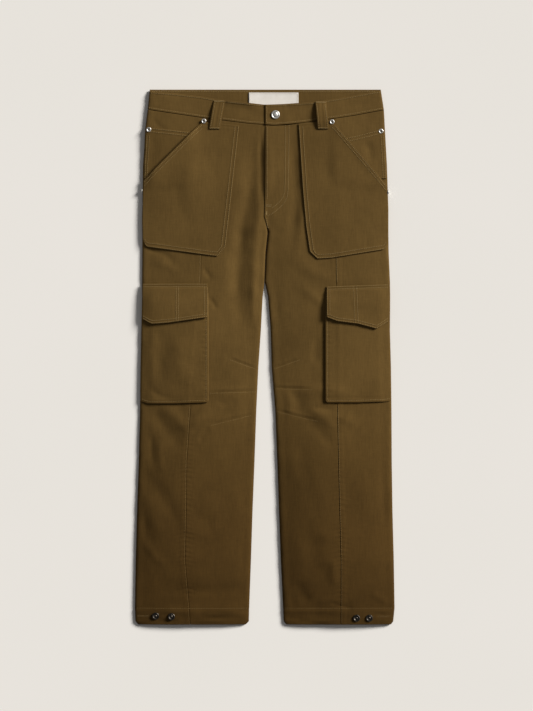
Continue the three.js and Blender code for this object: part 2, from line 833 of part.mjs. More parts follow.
// A rivet that faces sideways, on the leg's fold at the lower end of a pocket's mouth.
function addSideRivet({ name, leg, y }) {
  const side = outward(leg);
  const x = edge(leg, "outer", y) + side * SEAM_GAP;
  const head = addHead(name, x, y, SIDE_RIVET_HEIGHT, RIVET, MATERIALS.silver);
  head.rotation.set(0, 0, (-side * Math.PI) / 2);
}

// ---- The garment -----------------------------------------------------------

addBack("back_right", RIGHT_LEG);
addBack("back_left", LEFT_LEG);
addSideFront("side_front_right", RIGHT_LEG);
addSideFront("side_front_left", LEFT_LEG);
addFront("front_right", RIGHT_LEG, FLY_LAP);
addFront("front_left", LEFT_LEG, 0);

addBackBand();
addFrontBand("waistband_front_right", RIGHT_LEG, RIGHT_BAND_COLUMNS, () => 0);
addFrontBand("waistband_front_left", LEFT_LEG, LEFT_BAND_COLUMNS, bandLift);
addLabel();

addPatchPocket("patch_pocket_right", RIGHT_PATCH);
addPatchPocket("patch_pocket_left", LEFT_PATCH);
addCoinPocket("coin_pocket_right", RIGHT_COIN);
addCoinPocket("coin_pocket_left", LEFT_COIN);
addCargoPocket("cargo_pocket_right", RIGHT_CARGO);
addCargoPocket("cargo_pocket_left", LEFT_CARGO);
addCargoFlap("cargo_flap_right", RIGHT_FLAP);
addCargoFlap("cargo_flap_left", LEFT_FLAP);

FRONT_LOOPS.forEach(addFrontLoop);
BACK_LOOPS.forEach(addBackLoop);

addWaistButton();
HEM_BUTTONS.forEach(addHemButton);
RIVETS.forEach(addRivet);
SIDE_RIVETS.forEach(addSideRivet);

export default group;
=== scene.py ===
# Cargo pants lying flat on their back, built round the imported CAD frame.
# Lengths are in millimetres until a mesh is made; Blender and the frame are in metres.
import math
from collections import namedtuple

import bpy
import numpy as np
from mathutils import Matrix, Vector
from mathutils.bvhtree import BVHTree


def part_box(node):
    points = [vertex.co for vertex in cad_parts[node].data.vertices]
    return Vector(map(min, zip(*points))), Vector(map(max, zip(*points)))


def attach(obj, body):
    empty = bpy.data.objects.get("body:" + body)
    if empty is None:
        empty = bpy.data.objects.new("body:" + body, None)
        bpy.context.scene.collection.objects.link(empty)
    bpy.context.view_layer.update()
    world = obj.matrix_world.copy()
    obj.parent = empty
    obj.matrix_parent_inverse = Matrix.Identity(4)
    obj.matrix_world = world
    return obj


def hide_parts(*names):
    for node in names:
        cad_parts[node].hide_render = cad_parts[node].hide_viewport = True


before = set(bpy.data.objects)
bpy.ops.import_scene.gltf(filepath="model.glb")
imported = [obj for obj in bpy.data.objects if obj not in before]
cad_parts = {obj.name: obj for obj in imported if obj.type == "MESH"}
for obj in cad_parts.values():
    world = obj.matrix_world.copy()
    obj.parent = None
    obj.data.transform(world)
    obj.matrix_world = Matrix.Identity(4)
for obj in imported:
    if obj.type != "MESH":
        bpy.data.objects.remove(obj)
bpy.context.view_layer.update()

MM = 0.001

# Cloth
CLOTH = 1.5
HEM_CLOTH = 2.1
BAND_CLOTH = 2.2
LABEL_CLOTH = 1.0
GAP = 0.3  # between two pieces that lie on each other

# Lengths along the garment
HEM_LINE = -493
CROTCH = 245
FLAT_ABOVE = 262  # the inseam's fold has opened into the centre seam
HIP = 330

# Grid pitch of the visible cloth
PANEL_PITCH = 2.7
BACK_PITCH = 4.5
POCKET_PITCH = 2.2
NEAR_EDGE = [0, 0.1, 0.35, 0.75, 1.5, 2.6, 4, 5.6, 7.2, 9]
NEAR_PLAIN = [0, 0.1, 0.35, 0.75, 1.8]
FOLD_ANGLES = [0, 10, 22, 36, 52, 70, 90]
STEEPEST_SIDE = 1.6  # a side edge never runs flatter than this
ABOVE = 80  # higher than every piece, where rays that look down start

# Thread
STITCH_PITCH = 3.4
STITCH_LENGTH = 2.5
STITCH_SIDES = 5
THREAD = 1.0  # its width
FINE_THREAD = 0.65  # where it is sunk in the cloth
THREAD_RISE = 0.228  # of its width, from the cloth to its middle
SHORTEST_STITCH = 0.3
STEEPEST_STITCH = 0.96  # rise, of its length
TACK_PITCH = 0.8
TACK_THREAD = 0.7
BUTTONHOLE_PITCH = 1.0


# ---- Small sums ------------------------------------------------------------


def mix(low, high, share):
    return low + share * (high - low)


def smooth(value, low, high):
    """0 below low, 1 above high and a soft step between."""
    t = np.clip((value - low) / (high - low), 0, 1)
    return t * t * (3 - 2 * t)


def bell(value, middle, width):
    """1 in the middle, dying out on both sides."""
    return np.exp(-(((value - middle) / width) ** 2))


class Line:
    """A value that follows a coordinate, straight between samples and beyond them."""

    def __init__(self, at, values):
        self.at = np.asarray(at, float)
        self.values = np.asarray(values, float)

    def __call__(self, where):
        where = np.asarray(where, float)
        inside = np.interp(where, self.at, self.values)
        reach = max(1, len(self.at) // 6)
        below = self.values[0] + (where - self.at[0]) * self.slope(0, reach)
        above = self.values[-1] + (where - self.at[-1]) * self.slope(-1 - reach, -1)
        out = np.where(where < self.at[0], below, inside)
        return np.where(where > self.at[-1], above, out)

    def slope(self, first, second):
        return (self.values[second] - self.values[first]) / (self.at[second] - self.at[first])


class LevelLine(Line):
    """The same, but level beyond its ends."""

    def __call__(self, where):
        return np.interp(np.asarray(where, float), self.at, self.values)


def side_line(at, values):
    """A side edge's line, without the ends where it has turned along the top or bottom edge."""
    steep = np.abs(np.diff(values) / np.diff(at)) > STEEPEST_SIDE
    third = len(steep) // 3
    first = max([k + 1 for k in range(third) if steep[k]], default=0)
    last = min([k for k in range(len(steep) - third, len(steep)) if steep[k]], default=len(steep))
    return Line(at[first : last + 1], values[first : last + 1])


def table(*pairs):
    """A line through pairs of (coordinate, value), level beyond its ends."""
    at = [pair[0] for pair in pairs]
    values = [pair[1] for pair in pairs]
    return lambda where: np.interp(where, at, values)


class Noise:
    """Soft value noise on a seeded lattice, from -1 to 1."""

    def __init__(self, seed):
        self.lattice = np.random.default_rng(seed).uniform(-1, 1, (257, 257))

    def __call__(self, u, v):
        u = np.asarray(u, float) + 64.3
        v = np.asarray(v, float) + 128.7
        column = np.floor(u).astype(int)
        row = np.floor(v).astype(int)
        across = u - column
        along = v - row
        across = across * across * (3 - 2 * across)
        along = along * along * (3 - 2 * along)
        at = lambda r, c: self.lattice[r % 256, c % 256]
        low = mix(at(row, column), at(row, column + 1), across)
        high = mix(at(row + 1, column), at(row + 1, column + 1), across)
        return mix(low, high, along)


broad_noise = Noise(11)
fine_noise = Noise(12)
pucker_noise = Noise(13)


# ---- Reading the frame -----------------------------------------------------


class Node:
    """A CAD node in millimetres: its outline and its upper and lower faces."""

    RASTER = 2.0
    SOFTEN = 3.0
    END = 0.02  # lines start this far inside the solid

    def __init__(self, name, soften=SOFTEN):
        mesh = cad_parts[name].data
        self.name = name
        self.soften = soften
        self.points = np.array([vertex.co for vertex in mesh.vertices]) / MM
        faces = [tuple(polygon.vertices) for polygon in mesh.polygons]
        self.tree = BVHTree.FromPolygons(self.points.tolist(), faces)
        pairs = {tuple(sorted(edge)) for face in faces for edge in zip(face, face[1:] + face[:1])}
        self.ends = self.points[np.array(sorted(pairs))]
        self.low = self.points.min(0)
        self.high = self.points.max(0)
        self.rasters = {}

    def span(self, axis, of):
        """Lines of the lowest and highest value of one axis along another."""
        count = int((self.high[axis] - self.low[axis]) / 1.5) + 2
        at = np.linspace(self.low[axis] + self.END, self.high[axis] - self.END, count)
        first = self.ends[:, 0, axis][:, None]
        second = self.ends[:, 1, axis][:, None]
        crosses = (np.minimum(first, second) <= at) & (np.maximum(first, second) >= at)
        crosses &= first != second
        share = (at - first) / np.where(first == second, 1, second - first)
        value = mix(self.ends[:, 0, of][:, None], self.ends[:, 1, of][:, None], share)
        lowest = np.where(crosses, value, np.inf).min(0)
        highest = np.where(crosses, value, -np.inf).max(0)
        if of == 0:
            return side_line(at, lowest), side_line(at, highest)
        return Line(at, lowest), Line(at, highest)

    def ends_between(self, low, high):
        """The lower and upper edge, each from one side edge to the other and level beyond."""
        lines = []
        for line, start in zip(self.span(0, 1), (self.low[1], self.high[1])):
            corners = []
            for side, inward in ((low, 1), (high, -1)):
                x = float(side(start))
                for _ in range(6):
                    read = np.clip(x + inward, self.low[0] + 1, self.high[0] - 1)
                    x = float(side(line(read)))
                corners.append(x)
            at = np.linspace(corners[0] + 1, corners[1] - 1, 160)
            lines.append(LevelLine(at, line(np.clip(at, self.low[0] + 1, self.high[0] - 1))))
        return lines

    def centre(self):
        return (self.low + self.high) / 2

    def raster(self, upper):
        """Heights of the upper or lower face on a regular raster, softened."""
        if upper in self.rasters:
            return self.rasters[upper]
        xs = np.arange(self.low[0], self.high[0] + self.RASTER, self.RASTER)
        ys = np.arange(self.low[1], self.high[1] + self.RASTER, self.RASTER)
        start = self.high[2] + 10 if upper else self.low[2] - 10
        way = Vector((0, 0, -1)) if upper else Vector((0, 0, 1))
        heights = np.full((len(ys), len(xs)), np.nan)
        for row, y in enumerate(ys):
            for column, x in enumerate(xs):
                hit = self.tree.ray_cast(Vector((x, y, start)), way)[0]
                if hit is not None:
                    heights[row, column] = hit.z
        fill_gaps(heights)
        heights = blur(heights, self.soften / self.RASTER)
        self.rasters[upper] = (xs, ys, heights)
        return self.rasters[upper]

    def face(self, x, y, upper=True):
        xs, ys, heights = self.raster(upper)
        u = np.clip((x - xs[0]) / self.RASTER, 0, len(xs) - 1.001)
        v = np.clip((y - ys[0]) / self.RASTER, 0, len(ys) - 1.001)
        column = u.astype(int)
        row = v.astype(int)
        low = mix(heights[row, column], heights[row, column + 1], u - column)
        high = mix(heights[row + 1, column], heights[row + 1, column + 1], u - column)
        return mix(low, high, v - row)


def fill_gaps(heights):
    """Each empty cell of a raster takes the nearest height of its row, or of the row beside it."""
    columns = np.arange(heights.shape[1])
    for row in heights:
        known = ~np.isnan(row)
        if known.any():
            row[:] = np.interp(columns, columns[known], row[known])
    full = ~np.isnan(heights[:, 0])
    rows = np.arange(len(heights))
    nearest = np.abs(rows[:, None] - rows[full][None, :]).argmin(1)
    heights[:] = heights[rows[full][nearest]]


def shifted(heights, axis, reach):
    """Copies of a raster moved along one axis by every step up to the reach, either way."""
    pad = [(0, 0), (0, 0)]
    pad[axis] = (reach, reach)
    padded = np.pad(heights, pad, mode="edge")
    size = heights.shape[axis]
    return [np.take(padded, range(k, k + size), axis) for k in range(2 * reach + 1)]


def widened(heights, cells):
    """Each cell takes the highest value within so many cells."""
    for axis in (0, 1):
        heights = np.max(shifted(heights, axis, cells), axis=0)
    return heights


def blur(heights, sigma):
    reach = int(3 * sigma) + 1
    weights = np.exp(-0.5 * (np.arange(-reach, reach + 1) / sigma) ** 2)
    weights /= weights.sum()
    for axis in (0, 1):
        parts = [part * weight for part, weight in zip(shifted(heights, axis, reach), weights)]
        heights = np.sum(parts, axis=0)
    return heights


class Leg:
    """One leg's outline and the level of its side fold, read from its panels."""

    def __init__(self, side, sign):
        self.side = side
        self.sign = sign  # -1 for the right leg, which lies at -X
        self.side_front = Node("side_front_" + side)
        self.front = Node("front_" + side)
        self.back = Node("back_" + side)
        self.outer, self.seam = self.across(*self.side_front.span(1, 0))
        self.inner = self.across(*self.front.span(1, 0))[1]
        fold_low, fold_high = self.side_front.span(1, 2)
        self.middle = lambda y: fold_low(y) - GAP / 2
        self.radius = lambda y: fold_high(y) - fold_low(y) + GAP / 2

    def across(self, first, second):
        """Turns outer and inner into low X and high X, or the other way round."""
        return (first, second) if self.sign < 0 else (second, first)


right_leg = Leg("right", -1)
left_leg = Leg("left", 1)


# ---- The lie of the cloth --------------------------------------------------

# A crease is a soft ridge (rise above 0) or trough (below 0) along a line of points, and
# `width` is how far its sides reach.
Crease = namedtuple("Crease", "rise width points")

FRONT_CREASES = [
    # from the fly's left side down the right leg's inner thigh
    Crease(-3.6, 16, [(-22, 436), (-29, 330), (-44, 262), (-53, 190), (-54, 143), (-50, 95), (-38, 50)]),
    Crease(3.2, 12, [(-8, 330), (-12, 270), (-18, 210), (-21, 150), (-19, 90), (-12, 40)]),
    # the slit of the fly
    Crease(-1.6, 5, [(-7, 448), (-7, 380), (-6, 300)]),
    Crease(1.0, 8, [(9, 446), (8, 380), (7, 305)]),
    Crease(0.7, 14, [(-58, 300), (-62, 210), (-60, 120)]),
    # between the fly and the left patch pocket
    Crease(-1.8, 10, [(55, 425), (61, 306), (56, 263), (49, 225)]),
    Crease(0.8, 9, [(74, 300), (70, 250), (62, 190)]),
    Crease(-0.8, 12, [(23, 130), (20, 104), (22, 70)]),
    # across the right patch pocket
    Crease(-1.7, 20, [(-196, 384), (-172, 330), (-150, 284), (-117, 246)]),
    Crease(0.9, 20, [(-150, 380), (-124, 320), (-100, 285)]),
    Crease(-0.6, 6, [(-222, 473), (-208, 453), (-190, 446)]),
    Crease(-0.6, 6, [(-96, 443), (-80, 436), (-64, 430)]),
    Crease(0.4, 6, [(-92, 434), (-72, 424), (-60, 416)]),
    # left patch pocket
    Crease(-1.2, 20, [(112, 410), (122, 366), (140, 322)]),
    Crease(-1.5, 9, [(201, 424), (206, 404), (209, 380)]),
    Crease(0.7, 16, [(160, 420), (166, 360), (172, 300)]),
    Crease(-0.5, 12, [(92, 262), (110, 240), (128, 232)]),
    # right hip, between the patch pocket and the cargo flap
    Crease(-0.9, 7, [(-236, 214), (-196, 201), (-176, 180)]),
    Crease(-0.8, 6, [(-120, 176), (-110, 160), (-104, 150)]),
    Crease(0.6, 8, [(-225, 190), (-190, 178), (-160, 160)]),
    Crease(-0.8, 6, [(-110, 118), (-100, 104), (-94, 92)]),
    # right cargo pocket
    Crease(-2.0, 17, [(-216, 66), (-202, 25), (-205, -8), (-198, -62)]),
    Crease(1.3, 20, [(-172, 40), (-166, 0), (-156, -60)]),
    Crease(-0.8, 7, [(-226, -60), (-205, -76), (-180, -80)]),
    # below the right cargo pocket, a V of bright ridges
    Crease(1.8, 13, [(-204, -92), (-180, -114), (-156, -138), (-148, -158)]),
    Crease(1.4, 12, [(-104, -90), (-126, -114), (-146, -142)]),
    Crease(-1.7, 15, [(-222, -96), (-204, -128), (-182, -156), (-166, -190)]),
    Crease(-1.3, 13, [(-108, -140), (-86, -118), (-64, -92)]),
    Crease(-1.0, 8, [(-132, -168), (-118, -152), (-104, -140)]),
    Crease(-0.9, 7, [(-222, -150), (-222, -185), (-219, -216)]),
    Crease(0.8, 8, [(-204, -160), (-206, -190), (-200, -230)]),
    Crease(-0.7, 9, [(-88, -80), (-84, -90), (-52, -88)]),
    # right shin
    Crease(-1.6, 17, [(-248, -222), (-214, -254), (-190, -290), (-170, -326), (-148, -360)]),
    Crease(0.9, 14, [(-246, -262), (-230, -286), (-216, -318), (-204, -350)]),
    Crease(-1.0, 13, [(-248, -306), (-234, -340), (-222, -376)]),
    Crease(0.7, 9, [(-243, -350), (-216, -392), (-190, -412)]),
    Crease(-0.6, 12, [(-146, -300), (-120, -318), (-96, -322)]),
    Crease(0.5, 14, [(-130, -276), (-106, -292), (-84, -290)]),
    # above the right hem
    Crease(2.6, 12, [(-226, -500), (-130, -498), (-67, -496), (-24, -486)]),
    Crease(-1.7, 13, [(-206, -461), (-130, -458), (-78, -457), (-26, -449)]),
    Crease(0.6, 12, [(-210, -436), (-150, -428), (-100, -430)]),
    # left knee
    Crease(-0.9, 8, [(103, 40), (100, 13), (99, -16)]),
    Crease(-1.6, 14, [(46, -56), (64, -84), (74, -120)]),
    Crease(0.8, 10, [(40, -62), (50, -90), (46, -120)]),
    Crease(1.5, 12, [(88, -96), (108, -112), (130, -132), (142, -148)]),
    Crease(-1.3, 13, [(78, -118), (102, -140), (124, -164), (134, -186)]),
    Crease(-0.9, 6, [(88, -98), (114, -101), (139, -103)]),
    Crease(0.8, 8, [(170, -104), (158, -124), (148, -150)]),
    Crease(-0.8, 10, [(214, -100), (186, -128), (166, -164)]),
    Crease(0.6, 14, [(70, -196), (100, -232), (116, -280)]),
    # left shin
    Crease(-1.6, 22, [(92, -340), (98, -393), (104, -440)]),
    Crease(1.2, 12, [(134, -392), (136, -425), (136, -452)]),
    Crease(-0.9, 9, [(240, -196), (232, -230), (235, -276), (238, -330)]),
    Crease(0.5, 16, [(190, -196), (196, -260), (200, -330)]),
    Crease(-0.5, 14, [(60, -160), (74, -200), (84, -250)]),
    # left hem
    Crease(2.4, 12, [(26, -450), (34, -474), (46, -500)]),
    Crease(-1.4, 13, [(60, -440), (74, -464), (90, -486)]),
    Crease(-0.9, 4, [(126, -481), (146, -487), (176, -493)]),
    Crease(-0.8, 4, [(150, -492), (160, -486), (174, -479)]),
    Crease(0.7, 8, [(100, -482), (130, -476), (146, -478)]),
    Crease(0.8, 8, [(206, -462), (228, -474), (246, -486)]),
    # waistband, whose top edge rolls back beside the fly
    Crease(3.4, 12, [(-96, 511), (-45, 502), (-4, 500)]),
    Crease(3.4, 12, [(42, 503), (75, 504), (108, 511)]),
]

# Troughs in the hidden underside, which rise off the floor
BACK_CREASES = [
    Crease(1.3, 13, [(-190, -100), (-150, -76), (-100, -64), (-50, -72)]),
    Crease(1.1, 11, [(-200, -150), (-160, -132), (-110, -120), (-60, -132)]),
    Crease(1.4, 13, [(190, -88), (150, -70), (100, -64), (60, -74)]),
    Crease(1.0, 11, [(200, -140), (150, -120), (100, -112), (62, -122)]),
    Crease(1.2, 14, [(-40, 210), (-80, 170), (-130, 150), (-190, 152)]),
    Crease(1.2, 14, [(44, 212), (86, 172), (136, 152), (192, 156)]),
    Crease(1.0, 12, [(-60, 150), (-100, 110), (-150, 90)]),
    Crease(1.0, 12, [(64, 148), (104, 112), (156, 92)]),
    Crease(1.0, 14, [(-190, -300), (-150, -340), (-100, -350)]),
    Crease(1.0, 14, [(190, -320), (150, -352), (100, -350)]),
    Crease(0.9, 16, [(-120, 400), (-140, 330), (-130, 260)]),
    Crease(0.9, 16, [(120, 400), (142, 330), (132, 262)]),
]

# Height of the loosely lying front over its back, along the garment
LOFT = table(
    (-525, 6), (-485, 9), (-400, 13.5), (-200, 13), (-60, 9),
    (100, 7.2), (200, 8.5), (HIP, 8), (440, 4.5), (525, 1.4),
)
CUSHION_SHARE = 0.72  # of the loft in one broad swell, the rest in the roll at the edges
HIP_CUSHION_SHARE = 0.35
ROLL = 13  # how soon the cloth levels out from an edge
HIP_ROLL = 19
CREASE_EASE = 20  # creases die out this near a fold


SPLINE_STEPS = 6


def spline(points):
    """More points on a smooth curve through the given ones."""
    points = np.array(points, float)
    padded = np.vstack([2 * points[0] - points[1], points, 2 * points[-1] - points[-2]])
    out = []
    for k in range(1, len(padded) - 2):
        before, start, end, after = padded[k - 1 : k + 3]
        for t in np.arange(SPLINE_STEPS) / SPLINE_STEPS:
            bend = 2 * before - 5 * start + 4 * end - after
            twist = 3 * start - before - 3 * end + after
            out.append(0.5 * (2 * start + (end - before) * t + bend * t**2 + twist * t**3))
    out.append(points[-1])
    return np.array(out)


CREASE_DEPTH = 1.35  # how strongly all creases are drawn


def crease_height(crease, x, y):
    """Rise of one crease: fullest in its middle, dying out at both ends."""
    points = spline(crease.points)
    reach = 3 * crease.width
    low = points.min(0) - reach
    high = points.max(0) + reach
    height = np.zeros_like(x)
    near = (x > low[0]) & (x < high[0]) & (y > low[1]) & (y < high[1])
    if not near.any():
        return height
    px = x[near]
    py = y[near]
    best = np.full(px.shape, np.inf)
    where = np.zeros(px.shape)
    steps = np.hypot(*np.diff(points, axis=0).T)
    walked = np.concatenate([[0], np.cumsum(steps)])
    for k, length in enumerate(steps):
        ax, ay = points[k]
        dx, dy = (points[k + 1] - points[k]) / length
        t = np.clip((px - ax) * dx + (py - ay) * dy, 0, length)
        away = np.hypot(px - ax - t * dx, py - ay - t * dy)
        closer = away < best
        best = np.where(closer, away, best)
        where = np.where(closer, walked[k] + t, where)
    total = walked[-1]
    share = where / total
    fade = smooth(share, -0.05, 0.3) * (1 - smooth(share, 0.7, 1.05))
    uneven = 0.85 + 0.25 * broad_noise(where / 23 + crease.width, crease.rise * 7)
    width = crease.width * (0.9 + 0.2 * broad_noise(where / 31, crease.width))
    height[near] = CREASE_DEPTH * crease.rise * uneven * fade * bell(best, 0, width)
    return height


def creases_height(creases, x, y):
    total = np.zeros_like(x)
    for crease in creases:
        total += crease_height(crease, x, y)
    return total


def leg_parts(x, y):
    """Distance from the garment's outer edge and from the leg's inner edge."""
    middle = (right_leg.inner(np.minimum(y, CROTCH)) + left_leg.inner(np.minimum(y, CROTCH))) / 2
    on_right = x < middle
    outer = np.where(on_right, x - right_leg.outer(y), left_leg.outer(y) - x)
    low = np.minimum(y, CROTCH)
    inner = np.where(on_right, right_leg.inner(low) - x, x - left_leg.inner(low))
    return np.maximum(outer, 0), np.maximum(inner, 0)


def inseam_fold(y):
    """1 along the inseam's fold, and 0 where it has opened into the centre seam."""
    return np.clip((FLAT_ABOVE - y) / (FLAT_ABOVE - CROTCH), 0, 1)


FAR_INSIDE = 60  # added to the inner distance where there is no inner edge


def from_edge(x, y):
    """Distance from the nearest folded edge."""
    outer, inner = leg_parts(x, y)
    return np.minimum(outer, inner + FAR_INSIDE * (1 - inseam_fold(y)))


def back_rise(x, y):
    """What the underside is lifted by: nothing near its edges, hems and waist."""
    mask = smooth(from_edge(x, y), 6, 40) * (1 - smooth(y, 400, 440)) * smooth(y, -480, -440)
    total = creases_height(BACK_CREASES, x, y)
    total += 0.25 + 0.25 * broad_noise(x / 45, y / 60)
    return np.maximum(total, 0) * mask


def loft(x, y):
    """Rise of the whole front: each leg is a low cushion, and the hips are one."""
    outer, inner = leg_parts(x, y)
    share = outer / np.maximum(outer + inner, 1)
    leg_swell = 4 * share * (1 - share)
    leg_roll = (1 - np.exp(-outer / ROLL)) * (1 - np.exp(-inner / ROLL))
    hip_share = np.clip(outer / 240, 0, 1)
    hip_swell = 1 - (1 - hip_share) ** 2
    hip_roll = 1 - np.exp(-outer / HIP_ROLL)
    hips = smooth(y, 150, HIP)
    swell = mix(leg_swell, hip_swell, hips)
    roll = mix(leg_roll, hip_roll, hips)
    return LOFT(y) * mix(roll, swell, mix(CUSHION_SHARE, HIP_CUSHION_SHARE, hips))


PUCKER = {"right": 0.5, "left": 0.4}
PUCKER_REACH = 14


def wrinkles(x, y):
    """Small unevenness of worn cloth, and the puckers beside the long seams."""
    total = 0.45 * broad_noise(x / 42, y / 66) + 0.16 * fine_noise(x / 15, y / 24)
    for leg, first, last in ((right_leg, -500, -140), (left_leg, -520, -110)):
        away = x - leg.seam(y)
        gate = smooth(y, first, first + 30) * (1 - smooth(y, last - 30, last))
        reach = PUCKER_REACH + 4 * pucker_noise(y / 31, leg.sign)
        wave = np.sin(2 * math.pi * (y + 0.25 * np.abs(away)) / 9 + 2.5 * pucker_noise(y / 27, 3))
        strength = PUCKER[leg.side] * (0.7 + 0.6 * pucker_noise(y / 19, 9))
        total += gate * strength * wave * bell(away, 0, reach)
    return total


def front_rise(x, y):
    """What the front and all that lies on it is lifted by, over the CAD's flat lie."""
    mask = smooth(from_edge(x, y), 1, CREASE_EASE)
    shape = wrinkles(x, y) + creases_height(FRONT_CREASES, x, y)
    total = loft(x, y) + mask * shape
    soft_floor = 0.2
    total = 0.5 * (total + np.sqrt(total**2 + soft_floor**2)) - soft_floor / 2
    return np.maximum(total, 0) + back_rise(x, y)


# ---- Meshes ----------------------------------------------------------------


built = {}  # visible pieces by name: their tree of faces in millimetres
outlines = {}  # their outlines, for the stitching


def add_object(name, points, faces, material, slot):
    """A smooth visible object, made from points in millimetres, that rides on the garment."""
    mesh = bpy.data.meshes.new(name)
    mesh.from_pydata((np.asarray(points, float) * MM).tolist(), [], faces)
    mesh.validate()
    mesh.polygons.foreach_set("use_smooth", [True] * len(mesh.polygons))
    mesh.update()
    obj = bpy.data.objects.new(name, mesh)
    bpy.context.scene.collection.objects.link(obj)
    obj.data.materials.append(material)
    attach(obj, "root")
    return obj


def place_rows(near, shares, low, high):
    """Y of a grid's rows: at the near distances from both edges, and in even shares between."""
    width = high - low
    out = np.empty_like(width)
    first = len(near)
    for k, distance in enumerate(near):
        out[k] = low[k] + distance
        out[-1 - k] = high[-1 - k] - distance
    for k, share in enumerate(shares):
        row = first + k
        out[row] = low[row] + near[-1] + share * (width[row] - 2 * near[-1])
    return out


Fold = namedtuple("Fold", "middle radius keep")


class Cloth:
    """A mapped grid between four edges, with a round fold at its low or high X edge or neither."""

    def __init__(self, node, low, high, pitch, near=NEAR_EDGE, folds=(None, None)):
        bottom, top = node.ends_between(low, high)
        self.low, self.high, self.bottom, self.top = low, high, bottom, top
        near = np.array(near, float)
        middle = node.centre()
        width = float(high(middle[1]) - low(middle[1]))
        length = float(top(middle[0]) - bottom(middle[0]))
        self.angles = np.radians(FOLD_ANGLES)
        self.folds = folds
        counts = [len(self.angles) if fold else len(near) for fold in folds]
        share_count = max(2, int(round(width / pitch)))
        shares = np.arange(1, share_count) / share_count
        row_count = max(2, int(round(length / pitch)))
        row_shares = np.arange(1, row_count) / row_count
        rows = 2 * len(near) + len(row_shares)
        columns = sum(counts) + len(shares)
        y = np.linspace(node.low[1], node.high[1], rows)[:, None] * np.ones((1, columns))
        for _ in range(4):
            x = self.place_columns(y, near, shares)
            y = place_rows(near, row_shares, bottom(x), top(x))
        self.y = y
        self.x = self.place_columns(y, near, shares)
        self.rim = np.minimum(
            np.minimum(self.x - low(y), high(y) - self.x),
            np.minimum(y - bottom(self.x), top(self.x) - y),
        )
        self.rim = np.maximum(self.rim, 0)
        self.close_rim()

    def close_rim(self):
        """The distance from the rim is nothing all round the grid."""
        self.rim[0] = self.rim[-1] = 0
        self.rim[:, 0] = self.rim[:, -1] = 0

    def place_columns(self, y, near, shares):
        low = self.low(y)
        high = self.high(y)
        parts = []
        for fold in self.folds:
            if fold:
                parts.append(fold.radius(y[:, : len(self.angles)]) * (1 - np.cos(self.angles)))
            else:
                parts.append(np.broadcast_to(near, (len(y), len(near))))
        first = parts[0].shape[1]
        last = parts[1].shape[1]
        start = parts[0][:, -1:]
        end = parts[1][:, -1:]
        x = np.empty_like(y)
        x[:, :first] = low[:, :first] + parts[0]
        x[:, -last:] = high[:, -last:] - parts[1][:, ::-1]
        middle = slice(first, x.shape[1] - last)
        width = high[:, middle] - low[:, middle] - start - end
        x[:, middle] = low[:, middle] + start + shares * width
        return x

    def faces(self, height, thickness, facing=1):
        """Outer and inner face of the cloth, whose outer face has the given height."""
        x, y = self.x, self.y
        outer = np.stack([x, y, height], -1)
        inner = np.stack([x, y, height - facing * thickness], -1)
        count = len(self.angles)
        for fold, at, way in ((self.folds[0], slice(0, count), 1), (self.folds[1], slice(-count, None), -1)):
            if not fold:
                continue
            angles = self.angles if way > 0 else self.angles[::-1]
            yy = y[:, at]
            radius = fold.radius(yy)
            middle = fold.middle(yy)
            keep = fold.keep(yy)
            t = (thickness + 0 * y)[:, at]
            edge = self.low(yy) if way > 0 else self.high(yy)
            start = np.arcsin(GAP / 2 / radius)
            turned = start + (math.pi / 2 - start) * angles / (math.pi / 2)
            rise = np.sin(turned)
            inner_x = edge + way * (radius - (radius - t) * np.cos(turned))
            outer_z = middle + (height[:, at] - middle) * rise
            inner_z = middle + (height[:, at] - facing * t - middle) * rise
            outer[:, at, 2] = mix(outer[:, at, 2], outer_z, keep)
            inner[:, at, 0] = mix(inner[:, at, 0], inner_x, keep)
            inner[:, at, 2] = mix(inner[:, at, 2], inner_z, keep)
            walked = radius * (turned - start)
            distance = np.where(keep > 0.5, walked, self.rim[:, at])
            along = np.minimum(yy - self.bottom(x[:, at]), self.top(x[:, at]) - yy)
            self.rim[:, at] = np.maximum(np.minimum(distance, along), 0)
        self.close_rim()
        return outer, inner


def closed_shell(outer, inner, rim, thickness):
    """Points and faces of cloth between two grids, its edges rounded to half its thickness."""
    half = (thickness + 0 * rim) / 2
    near = np.minimum(rim, half) / half
    full = np.sqrt(np.maximum(1 - (1 - near) ** 2, 0))[..., None]
    centre = (outer + inner) / 2
    reach = (outer - inner) / 2
    upper = centre + reach * full
    lower = centre - reach * full
    rows, columns = rim.shape
    index = np.arange(rows * columns).reshape(rows, columns)
    below = index + rows * columns
    below[0], below[-1] = index[0], index[-1]
    below[:, 0], below[:, -1] = index[:, 0], index[:, -1]
    quads = np.stack([index[:-1, :-1], index[:-1, 1:], index[1:, 1:], index[1:, :-1]], -1).reshape(-1, 4)
    under = np.stack([below[:-1, :-1], below[1:, :-1], below[1:, 1:], below[:-1, 1:]], -1).reshape(-1, 4)
    points = np.vstack([upper.reshape(-1, 3), lower.reshape(-1, 3)])
    faces = np.vstack([quads, under])
    used, renumbered = np.unique(faces, return_inverse=True)
    points = points[used]
    faces = renumbered.reshape(faces.shape)
    if volume(points, faces) < 0:
        faces = faces[:, ::-1]
    return points, faces


def volume(points, faces):
    a, b, c, d = (points[faces[:, k]] for k in range(4))
    return float((a * np.cross(b, c)).sum() + (a * np.cross(c, d)).sum())


def add_cloth(name, cloth, height, thickness, facing=1, material=None, slot="twill"):
    """Makes one piece of cloth in its node's place and hides its CAD part."""
    outer, inner = cloth.faces(height, thickness, facing)
    points, faces = closed_shell(outer, inner, cloth.rim, thickness)
    obj = add_object(name + "_cloth", points, faces.tolist(), material or TWILL, slot)
    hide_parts(name)
    built[name] = BVHTree.FromPolygons(points.tolist(), faces.tolist())
    outlines[name] = cloth
    return obj


NO_SUPPORT = -40


